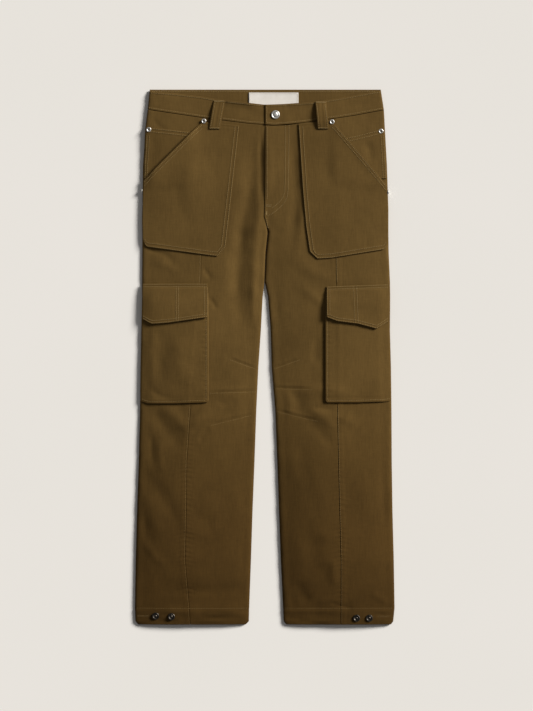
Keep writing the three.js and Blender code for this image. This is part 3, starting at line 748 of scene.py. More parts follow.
def support(x, y, names):
    """Highest point of the named pieces at each place, below NO_SUPPORT where there is none."""
    out = np.full(x.shape, NO_SUPPORT - 10.0)
    down = Vector((0, 0, -1))
    trees = [built[name] for name in names]
    flat_x, flat_y = x.ravel(), y.ravel()
    flat_out = out.ravel()
    for k in range(len(flat_x)):
        origin = Vector((flat_x[k], flat_y[k], ABOVE))
        for tree in trees:
            hit = tree.ray_cast(origin, down)[0]
            if hit is not None and hit.z > flat_out[k]:
                flat_out[k] = hit.z
    return flat_out.reshape(x.shape)


# ---- Materials -------------------------------------------------------------


def linear(*srgb):
    """A colour given in 0 to 255 as shown, as the shader wants it."""
    out = [((c / 255 + 0.055) / 1.055) ** 2.4 if c > 10 else c / 255 / 12.92 for c in srgb]
    return (*out, 1.0)


# Painted shade: colour multipliers that darken cloth and thread toward the hems, standing in for light
# falling off down the garment
HEM_SHADE_TOP = 90
HEM_SHADE_STOPS = [  # along the garment from the hems to HEM_SHADE_TOP
    (0.0, (0.53, 0.47, 0.36, 1)),
    (0.25, (0.64, 0.58, 0.48, 1)),
    (0.5, (0.76, 0.72, 0.64, 1)),
    (0.78, (0.95, 0.94, 0.92, 1)),
    (1.0, (1, 1, 1, 1)),
]


WAVE_RATE = 20  # radians per metre of the wave texture at a scale of 1
SLUB_TONE = 0.72  # how much the weave shows in the colour


class Shader:
    """A node material and short ways to add to it."""

    def __init__(self, name, **values):
        self.material = bpy.data.materials.new(name)
        self.material.use_nodes = True
        self.nodes = self.material.node_tree.nodes
        self.links = self.material.node_tree.links
        self.surface = self.nodes["Principled BSDF"]
        for key, value in values.items():
            self.surface.inputs[key.replace("_", " ")].default_value = value
        self.place = self.nodes.new("ShaderNodeTexCoord").outputs["Object"]

    def feed(self, socket, value):
        """Joins a node's output to a socket, or sets the socket to a plain value."""
        if isinstance(value, bpy.types.NodeSocket):
            self.links.new(value, socket)
        else:
            socket.default_value = value

    def add(self, kind, **inputs):
        node = self.nodes.new(kind)
        for key, value in inputs.items():
            self.feed(node.inputs[key.replace("_", " ")], value)
        return node

    def scaled(self, scale, turn=(0, 0, 0)):
        node = self.add("ShaderNodeMapping", Vector=self.place, Scale=scale, Rotation=turn)
        return node.outputs["Vector"]

    def noise(self, scale, detail=2.0, roughness=0.5, turn=(0, 0, 0)):
        place = self.scaled(scale, turn)
        node = self.add("ShaderNodeTexNoise", Vector=place, Scale=1.0, Detail=detail, Roughness=roughness)
        return node.outputs["Fac"]

    def ribs(self, pitch, turn):
        """Fine ridges of a weave, `pitch` metres apart."""
        place = self.scaled((1, 1, 1), (0, 0, turn))
        scale = 2 * math.pi / pitch / WAVE_RATE
        node = self.add("ShaderNodeTexWave", Vector=place, Scale=scale, Distortion=0.6, Detail=1.0)
        return node.outputs["Fac"]

    def ramp(self, factor, low, high):
        """Straight from low to high, each an input and what it gives."""
        node = self.add(
            "ShaderNodeMapRange", Value=factor,
            From_Min=low[0], From_Max=high[0], To_Min=low[1], To_Max=high[1],
        )
        return node.outputs["Result"]

    def math(self, operation, first, second):
        node = self.nodes.new("ShaderNodeMath")
        node.operation = operation
        self.feed(node.inputs[0], first)
        self.feed(node.inputs[1], second)
        return node.outputs[0]

    def blend(self, factor, low, high, kind="MIX"):
        node = self.nodes.new("ShaderNodeMix")
        node.data_type = "RGBA"
        node.blend_type = kind
        self.feed(node.inputs[0], factor)
        self.feed(node.inputs[6], low)
        self.feed(node.inputs[7], high)
        return node.outputs[2]

    def hem_shaded(self, output):
        """Painted shade: multiplies the colour darker toward the hems, standing in for the key light falling
        off down the garment.
        """
        parts = self.add("ShaderNodeSeparateXYZ", Vector=self.place)
        along = self.ramp(parts.outputs["Y"], (HEM_LINE * MM, 0.0), (HEM_SHADE_TOP * MM, 1.0))
        stops = self.add("ShaderNodeValToRGB", Fac=along)
        ramp = stops.color_ramp
        ramp.elements[0].color = HEM_SHADE_STOPS[0][1]
        ramp.elements[-1].color = HEM_SHADE_STOPS[-1][1]
        for at, shade in HEM_SHADE_STOPS[1:-1]:
            ramp.elements.new(at).color = shade
        return self.blend(1.0, output, stops.outputs["Color"], "MULTIPLY")

    def colour(self, output):
        self.feed(self.surface.inputs["Base Color"], output)

    def bump(self, height, strength, distance):
        node = self.add("ShaderNodeBump", Height=height, Strength=strength, Distance=distance)
        self.feed(self.surface.inputs["Normal"], node.outputs["Normal"])


def twill_material(dark, light):
    """Heavy twill: fine diagonal ribs, upright slubs, uneven dye, and painted shade that darkens it toward
    the hems.
    """
    shader = Shader("twill", Roughness=0.95, Specular_IOR_Level=0.1)
    cloudy = shader.noise((9, 7, 9), 3.0, 0.55)
    slubs = shader.noise((520, 46, 300), 2.0, 0.6)
    cross = shader.noise((60, 620, 300), 1.0, 0.5)
    grain = shader.noise((900, 900, 900), 1.0, 0.7)
    ribs = shader.ribs(0.0011, math.radians(62))
    weave = shader.math("ADD", shader.math("MULTIPLY", slubs, 0.55), shader.math("MULTIPLY", cross, 0.25))
    weave = shader.math("ADD", weave, shader.math("MULTIPLY", grain, 0.2))
    tone = shader.math("ADD", shader.math("MULTIPLY", weave, SLUB_TONE), shader.math("MULTIPLY", cloudy, 0.5))
    factor = shader.ramp(tone, (0.35, 0.0), (1.05, 1.0))
    # the cloth colour takes the painted shade toward the hems
    shader.colour(shader.hem_shaded(shader.blend(factor, dark, light)))
    height = shader.math("ADD", shader.math("MULTIPLY", ribs, 0.6), shader.math("MULTIPLY", weave, 1.2))
    shader.bump(height, 0.5, 0.0004)
    return shader.material


def thread_material():
    shader = Shader("thread", Roughness=0.7, Specular_IOR_Level=0.3)
    twist = shader.ribs(0.0006, math.radians(35))
    uneven = shader.noise((140, 140, 140), 2.0)
    factor = shader.ramp(shader.math("ADD", twist, uneven), (0.5, 0.0), (1.5, 1.0))
    # the thread takes the same painted shade toward the hems
    shader.colour(shader.hem_shaded(shader.blend(factor, linear(124, 101, 60), linear(157, 132, 84))))
    shader.bump(twist, 0.4, 0.0002)
    return shader.material


def label_material():
    shader = Shader("label_weave", Roughness=0.75, Specular_IOR_Level=0.3)
    across = shader.ribs(0.0007, 0.0)
    along = shader.ribs(0.0007, math.radians(90))
    weave = shader.math("MULTIPLY", across, along)
    soft = shader.noise((60, 60, 60), 3.0)
    factor = shader.ramp(shader.math("ADD", weave, soft), (0.3, 0.0), (1.3, 1.0))
    shader.colour(shader.blend(factor, linear(216, 209, 198), linear(236, 231, 223)))
    shader.bump(weave, 0.4, 0.0002)
    return shader.material


def metal_material(name, dark, light, roughness):
    """Worn plate: brighter and duller in patches, finely scratched."""
    shader = Shader(name, Metallic=1.0, Roughness=roughness)
    worn = shader.noise((420, 420, 420), 3.0, 0.6)
    scratches = shader.noise((1600, 240, 240), 2.0, 0.6, (0, 0, 0.6))
    factor = shader.ramp(worn, (0.35, 0.0), (0.65, 1.0))
    shader.colour(shader.blend(factor, dark, light))
    rough = shader.ramp(scratches, (0.3, roughness - 0.08), (0.7, roughness + 0.12))
    shader.feed(shader.surface.inputs["Roughness"], rough)
    shader.bump(scratches, 0.25, 0.0001)
    return shader.material


TWILL = twill_material(linear(78, 59, 28), linear(112, 87, 46))
THREAD_FINISH = thread_material()
LABEL_FINISH = label_material()
SILVER = metal_material("silver_plate", linear(176, 173, 166), linear(238, 236, 230), 0.44)
GUNMETAL = metal_material("gunmetal_plate", linear(34, 31, 28), linear(92, 86, 78), 0.38)
DARK_CENTRE = metal_material("rivet_centre", linear(40, 36, 30), linear(96, 88, 76), 0.5)


# ---- Leg panels ------------------------------------------------------------


def whole(y):
    """A fold that runs the whole way."""
    return 1.0 + 0 * y


def leg_fold(leg, keep=whole):
    return Fold(leg.middle, leg.radius, keep)


def cloth_thickness(y):
    return mix(HEM_CLOTH, CLOTH, smooth(y, HEM_LINE - 1.5, HEM_LINE + 1.5))


LAP = {"right": 0.3, "left": 0.4}


def seam_lap(x, y, leg):
    """The side panel's turned edge lies over the front panel's and stands a little proud."""
    away = (x - leg.seam(y)) * leg.sign
    return LAP[leg.side] * smooth(away, -1, 1) * (1 - smooth(away, 7.5, 12))


def hem_relief(x, y):
    """Small ripples along the turned-up hem, and the dent of its stitching."""
    gate = 1 - smooth(y, HEM_LINE - 3, HEM_LINE)
    ripples = 0.8 * fine_noise(x / 30, y / 6.5) * gate
    return ripples - 0.45 * bell(y, HEM_LINE, 2.2)


DARTS = {
    "right": [
        [(-69, -3), (-17, -22)],
        [(-108, -69), (-15, -66)],
        [(-106, -132), (-24, -112)],
    ],
    "left": [
        [(69, -3), (17, -22)],
        [(94, -62), (15, -60)],
        [(104, -124), (71, -117), (22, -104)],
    ],
}


def dart_relief(x, y, side):
    """Knee darts: a fine step along each seam, stitched down below it."""
    creases = []
    for points in DARTS[side]:
        raised = [(px, py + 4) for px, py in points]
        creases += [Crease(-0.9, 2.6, points), Crease(0.45, 4.5, raised)]
    return creases_height(creases, x, y)


def add_side_front(leg):
    name = "side_front_" + leg.side
    low, high = leg.across(leg.outer, leg.seam)
    cloth = Cloth(leg.side_front, low, high, PANEL_PITCH, folds=leg.across(leg_fold(leg), None))
    x, y = cloth.x, cloth.y
    height = leg.side_front.face(x, y) + front_rise(x, y) + seam_lap(x, y, leg) + hem_relief(x, y)
    add_cloth(name, cloth, height, cloth_thickness(y))


def add_front(leg):
    name = "front_" + leg.side
    low, high = leg.front.span(1, 0)
    folds = leg.across(None, leg_fold(leg, inseam_fold))
    cloth = Cloth(leg.front, low, high, PANEL_PITCH, folds=folds)
    x, y = cloth.x, cloth.y
    height = leg.front.face(x, y) + front_rise(x, y) + hem_relief(x, y) + dart_relief(x, y, leg.side)
    add_cloth(name, cloth, height, cloth_thickness(y))


def add_back(leg):
    name = "back_" + leg.side
    low, high = leg.back.span(1, 0)
    folds = leg.across(leg_fold(leg), leg_fold(leg, inseam_fold))
    cloth = Cloth(leg.back, low, high, BACK_PITCH, NEAR_PLAIN, folds)
    x, y = cloth.x, cloth.y
    height = leg.back.face(x, y, upper=False) + back_rise(x, y)
    add_cloth(name, cloth, height, cloth_thickness(y), facing=-1)


# ---- Pockets, flaps and coin pockets ---------------------------------------

POCKET_INSET = 0.8  # from the leg's side fold
SIDE_EASE = 26  # a pocket lies close to the leg this near its side fold
CARGO_STAND = 2.7
FLAP_STANDOFF = 1.6
MOUTH_SLANT = 1.42  # of a height difference to a distance from the slanted mouth
MOUTH_OPEN = {"right": 3.6, "left": 1.0}


def inset(line, distance):
    return lambda where: line(where) + distance


UNDER_CELLS = 5  # how far the outline of a piece underneath is spread
UNDER_BLUR = 3


def add_pocket(name, leg, below, lie, over=None):
    """A piece on a leg: `lie` gives the height of its underside over the pieces it lies on."""
    node = Node(name)
    inner = leg.across(*node.span(1, 0))[1]
    low, high = leg.across(inset(leg.outer, -leg.sign * POCKET_INSET), inner)
    cloth = Cloth(node, low, high, POCKET_PITCH)
    x, y = cloth.x, cloth.y
    ground = support(x, y, below)
    ground[ground < NO_SUPPORT] = np.nan
    fill_gaps(ground)
    outer, _ = leg_parts(x, y)
    if over:
        spread = widened(np.maximum(ground, support(x, y, over)), UNDER_CELLS)
        ground = blur(spread, UNDER_BLUR)
    under = blur(ground, 1.2) + lie(x, y, cloth, leg) * smooth(outer, 1, SIDE_EASE)
    under = np.maximum(under, ground) + GAP
    add_cloth(name, cloth, under + CLOTH, CLOTH)


def turned_edge(cloth):
    """The folded-in allowance makes a pocket a little thicker along its edges."""
    return 0.3 + 0.35 * (1 - smooth(cloth.rim, 8, 11)) - 0.35 * bell(cloth.rim, 5, 2.2)


def coin_lie(x, y, cloth, leg):
    return turned_edge(cloth) + 0.15 * fine_noise(x / 20, y / 26)


def patch_lie(x, y, cloth, leg):
    """The slanted mouth stands open a little, the right one more."""
    from_mouth = (cloth.top(x) - y) / MOUTH_SLANT
    along = leg.sign * x
    mouth = smooth(along, 128, 150) * (1 - smooth(along, 222, 238))
    opening = MOUTH_OPEN[leg.side] * mouth * bell(from_mouth, 0, 12)
    return coin_lie(x, y, cloth, leg) + opening


def cargo_lie(x, y, cloth, leg):
    """The bellows hold the front off the leg; it puckers along its inner and lower stitching."""
    stand = CARGO_STAND * smooth(cloth.rim, -0.3, 1.6) * smooth(cloth.top(x) - y, 0, 32)
    pucker = 0.4 * np.sin(2 * math.pi * y / 9.5 + 2 * pucker_noise(y / 25, 5))
    pucker *= bell(cloth.rim, 8, 5) * (0.6 + 0.5 * pucker_noise(y / 17, x / 60))
    dent = 0.35 * bell(cloth.rim, 5, 2)
    swell = 0.9 * smooth(cloth.rim, 4, 50) + 0.35 * broad_noise(x / 26, y / 34) * smooth(cloth.rim, 2, 14)
    return stand + swell + pucker - dent


def flap_lie(x, y, cloth, leg):
    """Sewn flat along its top, then bent down over the pocket, with its free edge standing off."""
    down = cloth.top(x) - y
    up = y - cloth.bottom(x)
    inward = np.abs(x - leg.across(cloth.low, cloth.high)[1](y))
    rise = 0.6 * smooth(down, 6.5, 10)
    groove = 0.7 * bell(down, 6, 1.4)
    free = FLAP_STANDOFF * bell(up, 0, 18) * (1 - 0.7 * smooth(inward, 60, 110))
    edge = 0.3 * (1 - smooth(up, 6, 9)) - 0.3 * bell(up, 4, 1.8)
    return 0.5 + rise - groove + free + edge + 0.3 * broad_noise(x / 30 + 5, y / 22)


def add_pockets(leg):
    side = leg.side
    panels = ["side_front_" + side, "front_" + side]
    if side == "left":
        panels.append("front_right")
    coin = "coin_pocket_" + side
    cargo = "cargo_pocket_" + side
    add_pocket(coin, leg, panels, coin_lie)
    add_pocket("patch_pocket_" + side, leg, panels, patch_lie, [coin])
    add_pocket(cargo, leg, panels, cargo_lie)
    add_pocket("cargo_flap_" + side, leg, panels, flap_lie, [cargo])


# ---- Waistband, loops and label --------------------------------------------


SMALL_SOFTEN = 2.0  # a small piece's faces are softened less
BAND_MIDDLE = 490
BAND_PITCH = 3.0


def level_fold(middle, radius):
    """A fold of one level and one radius all along."""
    return Fold(lambda y: middle + 0 * y, lambda y: radius + 0 * y, whole)


def band_outer(leg):
    """The side fold of the waist, from the back band."""
    return leg.across(*Node("waistband_back").span(1, 0))[0]


def add_front_band(leg):
    name = "waistband_front_" + leg.side
    node = Node(name, SMALL_SOFTEN)
    end = float(leg.across(node.low[0], node.high[0])[1])
    end_line = Line([0, 1], [end, end])
    middle = float(node.low[2]) - GAP / 2
    centre_x = 0.5 * (node.low[0] + node.high[0])
    top = float(node.face(np.array([centre_x]), np.array([float(BAND_MIDDLE)]))[0])
    low, high = leg.across(band_outer(leg), end_line)
    folds = leg.across(level_fold(middle, top - middle), None)
    cloth = Cloth(node, low, high, POCKET_PITCH, folds=folds)
    x, y = cloth.x, cloth.y
    relief = 0.25 * (1 - smooth(cloth.rim, 3, 6)) - 0.25 * bell(cloth.rim, 4.5, 2)
    relief += 0.25 * fine_noise(x / 30, y / 12)
    height = node.face(x, y) + front_rise(x, y) + relief * smooth(leg_parts(x, y)[0], 2, 14)
    below = ["waistband_front_right"] if leg.side == "left" else []
    if below:
        height = np.maximum(height, support(x, y, below) + GAP + BAND_CLOTH)
    add_cloth(name, cloth, height, BAND_CLOTH)


def add_back_band():
    name = "waistband_back"
    node = Node(name, SMALL_SOFTEN)
    low, high = node.span(1, 0)
    middle = float(node.high[2]) + GAP / 2
    base = float(node.low[2])
    fold = level_fold(middle, middle - base)
    cloth = Cloth(node, low, high, BAND_PITCH, folds=(fold, fold))
    add_cloth(name, cloth, base + 0 * cloth.x, BAND_CLOTH, facing=-1)


def add_flat(name, material, slot, thickness, below, pitch, relief=None, rise=True):
    """A small flat piece in its CAD place, clear of the pieces below it."""
    node = Node(name, SMALL_SOFTEN)
    low, high = node.span(1, 0)
    cloth = Cloth(node, low, high, pitch, NEAR_PLAIN)
    x, y = cloth.x, cloth.y
    under = node.face(x, y, upper=False)
    if rise:
        under = under + front_rise(x, y)
    if relief is not None:
        under = under + relief(x, y, cloth)
    if below:
        under = np.maximum(under, support(x, y, below) + GAP)
    add_cloth(name, cloth, under + thickness, thickness, material=material, slot=slot)


def loop_relief(x, y, cloth):
    """Two raised ribs down a belt loop, where its edges are folded to its middle."""
    middle = 0.5 * (cloth.low(y) + cloth.high(y))
    across = np.abs(x - middle)
    return 0.3 * bell(across, 4.2, 2.0) + 0.15 * fine_noise(x / 6, y / 9)


LOOP_FOOT = 447
LOOP_LENGTH = 56
LOOP_BOW = {"right": 2.0, "left": 4.5}  # how far a front loop stands off at its middle


def add_loops():
    over = {
        "right": ["waistband_front_right", "patch_pocket_right", "front_right"],
        "left": ["waistband_front_left", "patch_pocket_left", "front_left"],
    }
    for side, below in over.items():

        def bowed(x, y, cloth, bow=LOOP_BOW[side]):
            share = (y - LOOP_FOOT) / LOOP_LENGTH
            return loop_relief(x, y, cloth) + bow * np.sin(np.pi * np.clip(share, 0, 1)) ** 0.8

        add_flat("belt_loop_front_" + side, TWILL, "twill", CLOTH, below, 1.4, bowed)
    for place in ("right", "centre", "left"):
        name = "belt_loop_back_" + place
        add_flat(name, TWILL, "twill", CLOTH, [], 1.6, rise=False)


def label_relief(x, y, cloth):
    return 0.2 * (1 - smooth(cloth.rim, 1.5, 3)) + 0.35 * broad_noise(x / 24, y / 20 + 4) + 0.35


# ---- Stitching -------------------------------------------------------------


def capsule(sides=STITCH_SIDES):
    """A short round-ended stitch from 0 to 1 along X, one across."""
    rings = [(0.12, 0.36), (0.5, 0.5), (0.88, 0.36)]
    points = [(0, 0, 0)]
    for along, radius in rings:
        for k in range(sides):
            angle = 2 * math.pi * k / sides
            points.append((along, radius * math.cos(angle), radius * math.sin(angle)))
    points.append((1, 0, 0))
    faces = []
    last = len(points) - 1
    for k in range(sides):
        nxt = (k + 1) % sides
        faces.append((0, 1 + nxt, 1 + k, 1 + k))
        for ring in range(len(rings) - 1):
            a = 1 + ring * sides
            b = a + sides
            faces.append((a + k, a + nxt, b + nxt, b + k))
        end = 1 + (len(rings) - 1) * sides
        faces.append((end + k, end + nxt, last, last))
    return np.array(points, float), faces


class Stitches:
    """Collects stitches that lie on visible pieces, and makes one object of them."""

    def __init__(self, name):
        self.name = name
        self.points = []
        self.faces = []
        self.count = 0
        self.template, template_faces = capsule()
        self.template_faces = [tuple(dict.fromkeys(face)) for face in template_faces]

    def top(self, x, y, names):
        """Height of the highest of the named pieces at a place, or None."""
        hits = [built[name].ray_cast(Vector((x, y, ABOVE)), Vector((0, 0, -1)))[0] for name in names]
        return max((hit.z for hit in hits if hit is not None), default=None)

    def one(self, start, end, names, width=THREAD):
        """One stitch, left out where it would run off the cloth or over a steep step."""
        ends = []
        for x, y in (start, end):
            height = self.top(x, y, names)
            if height is None:
                return
            ends.append(Vector((x, y, height + width * THREAD_RISE)))
        along = ends[1] - ends[0]
        if along.length < SHORTEST_STITCH or abs(along.z) > STEEPEST_STITCH * along.length:
            return
        across = Vector((0, 0, 1)).cross(along).normalized()
        upward = along.cross(across).normalized()
        basis = np.array([along, across * width, upward * width])
        self.points.append(self.template @ basis + np.array(ends[0]))
        self.faces.extend(tuple(v + self.count for v in face) for face in self.template_faces)
        self.count += len(self.template)

    def line(self, points, names, pitch=STITCH_PITCH, length=STITCH_LENGTH, width=THREAD):
        points = np.array(points, float)
        steps = np.hypot(*np.diff(points, axis=0).T)
        walked = np.concatenate([[0], np.cumsum(steps)])
        count = int(walked[-1] / pitch)
        for k in range(count):
            start = (k + 0.15) * pitch
            at = [np.array([np.interp(s, walked, points[:, axis]) for axis in (0, 1)])
                  for s in (start, start + length)]
            self.one(at[0], at[1], names, width)

    def bar(self, start, end, names, width):
        """A bar tack: close stitches across a short line."""
        start = np.array(start, float)
        end = np.array(end, float)
        along = end - start
        length = np.hypot(*along)
        along /= length
        across = np.array([-along[1], along[0]]) * width / 2
        for k in range(int(length / TACK_PITCH) + 1):
            middle = start + along * k * TACK_PITCH
            self.one(middle - across, middle + across, names, TACK_THREAD)

    def make(self):
        add_object(self.name, np.vstack(self.points), self.faces, THREAD_FINISH, "twill")


def upright(line, first, last, offset=0.0, step=12):
    """Points up a line that gives X at each Y."""
    ys = np.linspace(first, last, max(2, int(abs(last - first) / step)))
    return np.stack([line(ys) + offset, ys], -1)


def level_line(line, first, last, offset=0.0, step=6):
    """Points along a line that gives Y at each X."""
    xs = np.linspace(first, last, max(2, int(abs(last - first) / step)))
    return np.stack([xs, line(xs) + offset], -1)


def round_corner(side, bottom, sign, offset, top_y, far_x, step=3.0):
    """Points down a pocket's inner side and along its lower edge, `offset` inside both."""
    points = []
    y = top_y
    while y > bottom(side(y) + sign * offset) + offset:
        points.append((float(side(y)) + sign * offset, y))
        y -= step
    xs = np.arange(points[-1][0] + sign * step, far_x, sign * step)
    points.extend((x, float(bottom(x)) + offset) for x in xs)
    return points


def stitch_panels():
    thread = Stitches("stitches_seams")
    for leg in (right_leg, left_leg):
        side = leg.side
        names = ["side_front_" + side, "front_" + side]
        width = FINE_THREAD if side == "right" else THREAD
        thread.line(upright(leg.seam, -522, -96, leg.sign * 1.6), names[:1], width=width)
        thread.line(upright(leg.seam, 146, 206, leg.sign * 1.6), names[:1], width=width)
        inner = leg.inner(HEM_LINE)
        outer = leg.outer(HEM_LINE)
        low, high = min(inner, outer) + 3, max(inner, outer) - 3
        thread.line([(low, HEM_LINE), (high, HEM_LINE)], names)
        for points in DARTS[side]:
            lowered = [(px, py - 2.4) for px, py in points]
            thread.line(lowered, names, width=FINE_THREAD)
    # fly, bar tacks and centre seam
    fly = [(47.5, 455), (47, 400), (45.5, 330), (43, 312), (36, 300), (26, 290), (14, 281), (3, 275)]
    inner_fly = [(41, 455), (40.5, 400), (39.5, 332), (37, 317), (31, 307), (22, 298), (13, 291)]
    thread.line(spline(fly), ["front_left"])
    thread.line(spline(inner_fly), ["front_left"])
    for y in (299, 297, 295):
        thread.line([(1.5, y), (13.5, y)], ["front_left"], 1.6, 1.4)
    thread.bar((3, 279), (3, 286), ["front_left"], 3.4)
    thread.line([(4.5, 452), (4.5, 306)], ["front_left"])
    thread.line([(3.2, 272), (4.5, 262), (7.5, 250)], ["front_left"])
    thread.make()


def stitch_patch(thread, leg):
    sign = leg.sign
    name = "patch_pocket_" + leg.side
    patch = outlines[name]
    inner = leg.across(patch.low, patch.high)[1]
    far = float(leg.outer(230)) - sign * 2
    for offset in (1.6, 8.0):
        thread.line(round_corner(inner, patch.bottom, sign, offset, 452, far), [name])
    mouth_far = leg.outer(330) - sign * 3
    mouth_near = -123 if sign < 0 else 132
    for offset in (3.0, 8.2):
        thread.line(level_line(patch.top, mouth_near, mouth_far, -offset * MOUTH_SLANT), [name])


def stitch_coin(thread, leg):
    name = "coin_pocket_" + leg.side
    ends = (-228, -150) if leg.sign < 0 else (150, 230)
    for offset in (2.0, 8.0):
        thread.line(level_line(outlines[name].top, *ends, -offset), [name])
    for offset in (4.5, 9.0):
        thread.line(upright(leg.outer, 350, 438, -leg.sign * offset), [name])


def stitch_cargo(thread, leg):
    sign = leg.sign
    name = "cargo_pocket_" + leg.side
    cargo = outlines[name]
    inner = leg.across(cargo.low, cargo.high)[1]
    thread.line(upright(inner, -84, 74, sign * 5), [name])
    ends = sorted([inner(0) + sign * 5, leg.outer(-80) - sign * 3])
    thread.line(level_line(cargo.bottom, *ends, 5), [name])


def stitch_flap(thread, leg):
    sign = leg.sign
    name = "cargo_flap_" + leg.side
    flap = outlines[name]
    inner = leg.across(flap.low, flap.high)[1]
    ends = sorted([inner(100) + sign * 1.5, leg.outer(100) - sign * 2])
    for offset in (1.6, 6.4):
        thread.line(level_line(flap.bottom, *ends, offset), [name])
        thread.line(upright(inner, 82, 137, sign * offset), [name])
    for offset in (1.6, 6.0):
        thread.line(level_line(flap.top, *ends, -offset), [name])
    middles, lean = ((-173.6, -169), 0) if sign < 0 else ((174, 180), 3)
    for x in middles:
        y_low = float(flap.bottom(x)) + 2
        thread.line([(x + lean, y_low), (x, 141)], [name])


def stitch_pockets():
    thread = Stitches("stitches_pockets")
    for leg in (right_leg, left_leg):
        for stitch in (stitch_patch, stitch_coin, stitch_cargo, stitch_flap):
            stitch(thread, leg)
    thread.make()


def stitch_waist():
    thread = Stitches("stitches_waist")
    for side in ("right", "left"):
        name = "waistband_front_" + side
        band = outlines[name]
        low, high = ((-228, -2) if side == "right" else (4, 230))
        thread.line(level_line(band.bottom, low, high, 3.5), [name])
        thread.line(level_line(band.top, low, high, -3.0), [name])
    thread.line([(-222, 521), (224, 521)], ["waistband_back"])
    thread.line([(3.5, 460), (3.5, 492)], ["waistband_front_left"])
    for name, x, low, high, slant in (
        ("belt_loop_front_right", -93.5, 448.5, 501.5, 4.5),
        ("belt_loop_front_left", 112.2, 448.5, 499.5, -2.2),
    ):
        for y, shift in ((low, -slant), (high, slant)):
            thread.bar((x + shift - 9.5, y), (x + shift + 9.5, y), [name], 2.2)
        for offset in (-8.2, 8.2):
            thread.line([(x - slant + offset, low + 3), (x + slant + offset, high - 3)], [name])
    low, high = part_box("inner_label")
    left, bottom = low.x / MM + 2, low.y / MM + 2
    right, top = high.x / MM - 2, high.y / MM - 2
    corners = [(left, bottom), (right, bottom), (right, top), (left, top), (left, bottom)]
    thread.line(corners, ["inner_label"], 2.6, 1.9, 0.45)
    thread.make()


def buttonholes():
    """Keyhole stitching at the outer end of each hem."""
    thread = Stitches("stitches_buttonholes")
    for side, first, last, y in (("right", -250, -226, -508), ("left", 222, 246, -509)):
        names = ["side_front_" + side]
        for k in range(int((last - first) / BUTTONHOLE_PITCH)):
            x = first + k * BUTTONHOLE_PITCH
            for way in (-1, 1):
                thread.one((x, y + way * 0.2), (x, y + way * 1.5), names, 0.6)
    thread.make()


# ---- Metal -----------------------------------------------------------------


def turned(name, profile, centre, radius, height, material, slot, facing=(0, 0, 1), segments=48):
    """A turned piece: its profile is in shares of its radius and height."""
    points = []
    rows = len(profile)
    for r, z in profile:
        for k in range(segments):
            angle = 2 * math.pi * k / segments
            points.append((r * radius * math.cos(angle), r * radius * math.sin(angle), z * height))
    faces = []
    for row in range(rows - 1):
        for k in range(segments):
            nxt = (k + 1) % segments
            a, b = row * segments, (row + 1) * segments
            faces.append((a + k, a + nxt, b + nxt, b + k))
    bottom = len(points)
    points.append((0, 0, profile[0][1] * height))
    top = len(points)
    points.append((0, 0, profile[-1][1] * height))
    for k in range(segments):
        nxt = (k + 1) % segments
        faces.append((bottom, nxt, k))
        last = (rows - 1) * segments
        faces.append((top, last + k, last + nxt))
    turn = Vector((0, 0, 1)).rotation_difference(Vector(facing)).to_matrix()
    placed = [tuple(turn @ Vector(point) + Vector(centre)) for point in points]
    return add_object(name, placed, faces, material, slot)


WAIST_BUTTON_PROFILE = [
    (0.30, 0.0), (0.86, 0.02), (0.97, 0.14), (1.0, 0.34), (0.985, 0.52), (0.93, 0.70), (0.86, 0.78),
    (0.79, 0.76), (0.74, 0.66), (0.70, 0.56), (0.64, 0.55), (0.60, 0.60), (0.52, 0.72), (0.40, 0.84),
    (0.26, 0.92), (0.12, 0.96),
]
HEM_BUTTON_PROFILE = [
    (0.30, 0.0), (0.88, 0.02), (0.98, 0.2), (1.0, 0.45), (0.96, 0.75), (0.88, 0.92), (0.78, 0.96),
    (0.68, 0.90), (0.60, 0.72), (0.54, 0.45), (0.44, 0.36), (0.36, 0.42), (0.28, 0.60), (0.18, 0.70),
    (0.08, 0.72),
]
RIVET_PROFILE = [
    (0.30, 0.0), (0.90, 0.02), (0.99, 0.22), (1.0, 0.40), (0.94, 0.72), (0.84, 0.92), (0.72, 0.96),
    (0.62, 0.84), (0.55, 0.58), (0.48, 0.42), (0.38, 0.40), (0.2, 0.40),
]
RIVET_CENTRE_PROFILE = [(0.30, 0.0), (0.92, 0.1), (1.0, 0.4), (0.9, 0.8), (0.6, 1.0), (0.25, 1.0)]


def head_place(node, names):
    low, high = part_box(node)
    centre = (low + high) / 2 / MM
    radius = (high.x - low.x) / 2 / MM
    height = (high.z - low.z) / MM
    angles = np.radians(np.arange(0, 360, 30))
    x = centre.x + 0.9 * radius * np.cos(angles)
    y = centre.y + 0.9 * radius * np.sin(angles)
    ground = support(x, y, names)
    seat = float(np.mean(ground[ground > NO_SUPPORT])) + 0.15
    return centre, radius, height, seat


def add_button(node, profile, names, material, slot):
    centre, radius, height, seat = head_place(node, names)
    button = turned(node + "_head", profile, (centre.x, centre.y, seat), radius, height, material, slot)
    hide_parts(node)


def add_heads():
    add_button("waist_button", WAIST_BUTTON_PROFILE, ["waistband_front_left"], SILVER, "silver_metal")
    for place in ("right_outer", "right_inner", "left_inner", "left_outer"):
        side = place.split("_")[0]
        names = ["side_front_" + side, "front_" + side]
        add_button("hem_button_" + place, HEM_BUTTON_PROFILE, names, GUNMETAL, "dark_metal")
    for place, under in (("mouth", "patch_pocket_"), ("coin", "coin_pocket_")):
        for side in ("right", "left"):
            node = "rivet_" + place + "_" + side
            centre, radius, height, seat = head_place(node, [under + side])
            add_rivet(node, (centre.x, centre.y, seat), radius, height, (0, 0, 1))
    for side, sign in (("right", -1), ("left", 1)):
        node = "rivet_side_" + side
        low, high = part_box(node)
        centre = (low + high) / 2 / MM
        radius = (high.y - low.y) / 2 / MM
        height = (high.x - low.x) / MM
        seat = low.x / MM if sign > 0 else high.x / MM
        add_rivet(node, (seat, centre.y, centre.z), radius, height, (sign, 0, 0))


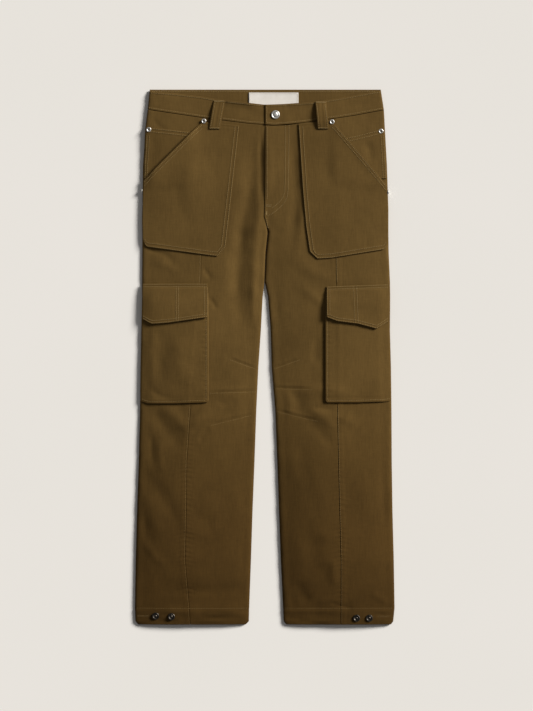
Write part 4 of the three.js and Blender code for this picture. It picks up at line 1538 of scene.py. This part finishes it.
def add_rivet(node, centre, radius, height, facing):
    ring = turned(node + "_ring", RIVET_PROFILE, centre, radius, height, SILVER, "silver_metal", facing, 36)
    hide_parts(node)
    raised = Vector(centre) + Vector(facing) * 0.41 * height
    turned(node + "_centre", RIVET_CENTRE_PROFILE, raised, 0.42 * radius, 0.35 * height,
           DARK_CENTRE, "silver_metal", facing, 24)


# ---- Stage, light and camera -----------------------------------------------


def add_stage():
    size = 8.0
    mesh = bpy.data.meshes.new("floor")
    corners = [(-size, -size, 0), (size, -size, 0), (size, size, 0), (-size, size, 0)]
    mesh.from_pydata(corners, [], [(0, 1, 2, 3)])
    floor = bpy.data.objects.new("floor", mesh)
    floor.location.z = -0.0003
    bpy.context.scene.collection.objects.link(floor)
    shader = Shader("floor_paper", Roughness=0.95, Specular_IOR_Level=0.1)
    soft = shader.noise((2.5, 2.5, 2.5), 2.0)
    shader.colour(shader.blend(soft, linear(232, 229, 223), linear(236, 232, 227)))
    mesh.materials.append(shader.material)


def add_light():
    """One big soft light low on the upper right, and an even fill."""
    scene = bpy.context.scene
    sun = bpy.data.lights.new("key", "SUN")
    sun.energy = 5.5
    sun.angle = math.radians(20)
    sun.color = (1.0, 0.985, 0.96)
    key = bpy.data.objects.new("key", sun)
    from_side = Vector((0.75, 0.47, 0.46))
    key.rotation_euler = from_side.to_track_quat("Z", "Y").to_euler()
    scene.collection.objects.link(key)
    world = bpy.data.worlds.new("studio")
    world.use_nodes = True
    backdrop = world.node_tree.nodes["Background"]
    backdrop.inputs["Color"].default_value = (0.98, 0.985, 1.0, 1)
    backdrop.inputs["Strength"].default_value = 0.17
    scene.world = world
    scene.view_settings.view_transform = "Standard"


def add_camera():
    """Straight above, its long side along the garment."""
    frame_height = 1.397
    lens = 150
    sensor = 36
    middle = Vector((0.00344, 0.00295, 0))
    camera = bpy.data.cameras.new("camera")
    camera.lens = lens
    camera.sensor_width = sensor
    obj = bpy.data.objects.new("camera", camera)
    obj.location = middle + Vector((0, 0, frame_height * lens / sensor))
    bpy.context.scene.collection.objects.link(obj)
    bpy.context.scene.camera = obj


# ---- The garment -----------------------------------------------------------

for leg in (right_leg, left_leg):
    add_back(leg)
for leg in (right_leg, left_leg):
    add_side_front(leg)
    add_front(leg)
for leg in (right_leg, left_leg):
    add_pockets(leg)
add_back_band()
add_flat("inner_label", LABEL_FINISH, "label", LABEL_CLOTH, ["waistband_back"], 2.0, label_relief, rise=False)
for leg in (right_leg, left_leg):
    add_front_band(leg)
add_loops()
stitch_panels()
stitch_pockets()
stitch_waist()
buttonholes()
add_heads()
add_stage()
add_light()
add_camera()
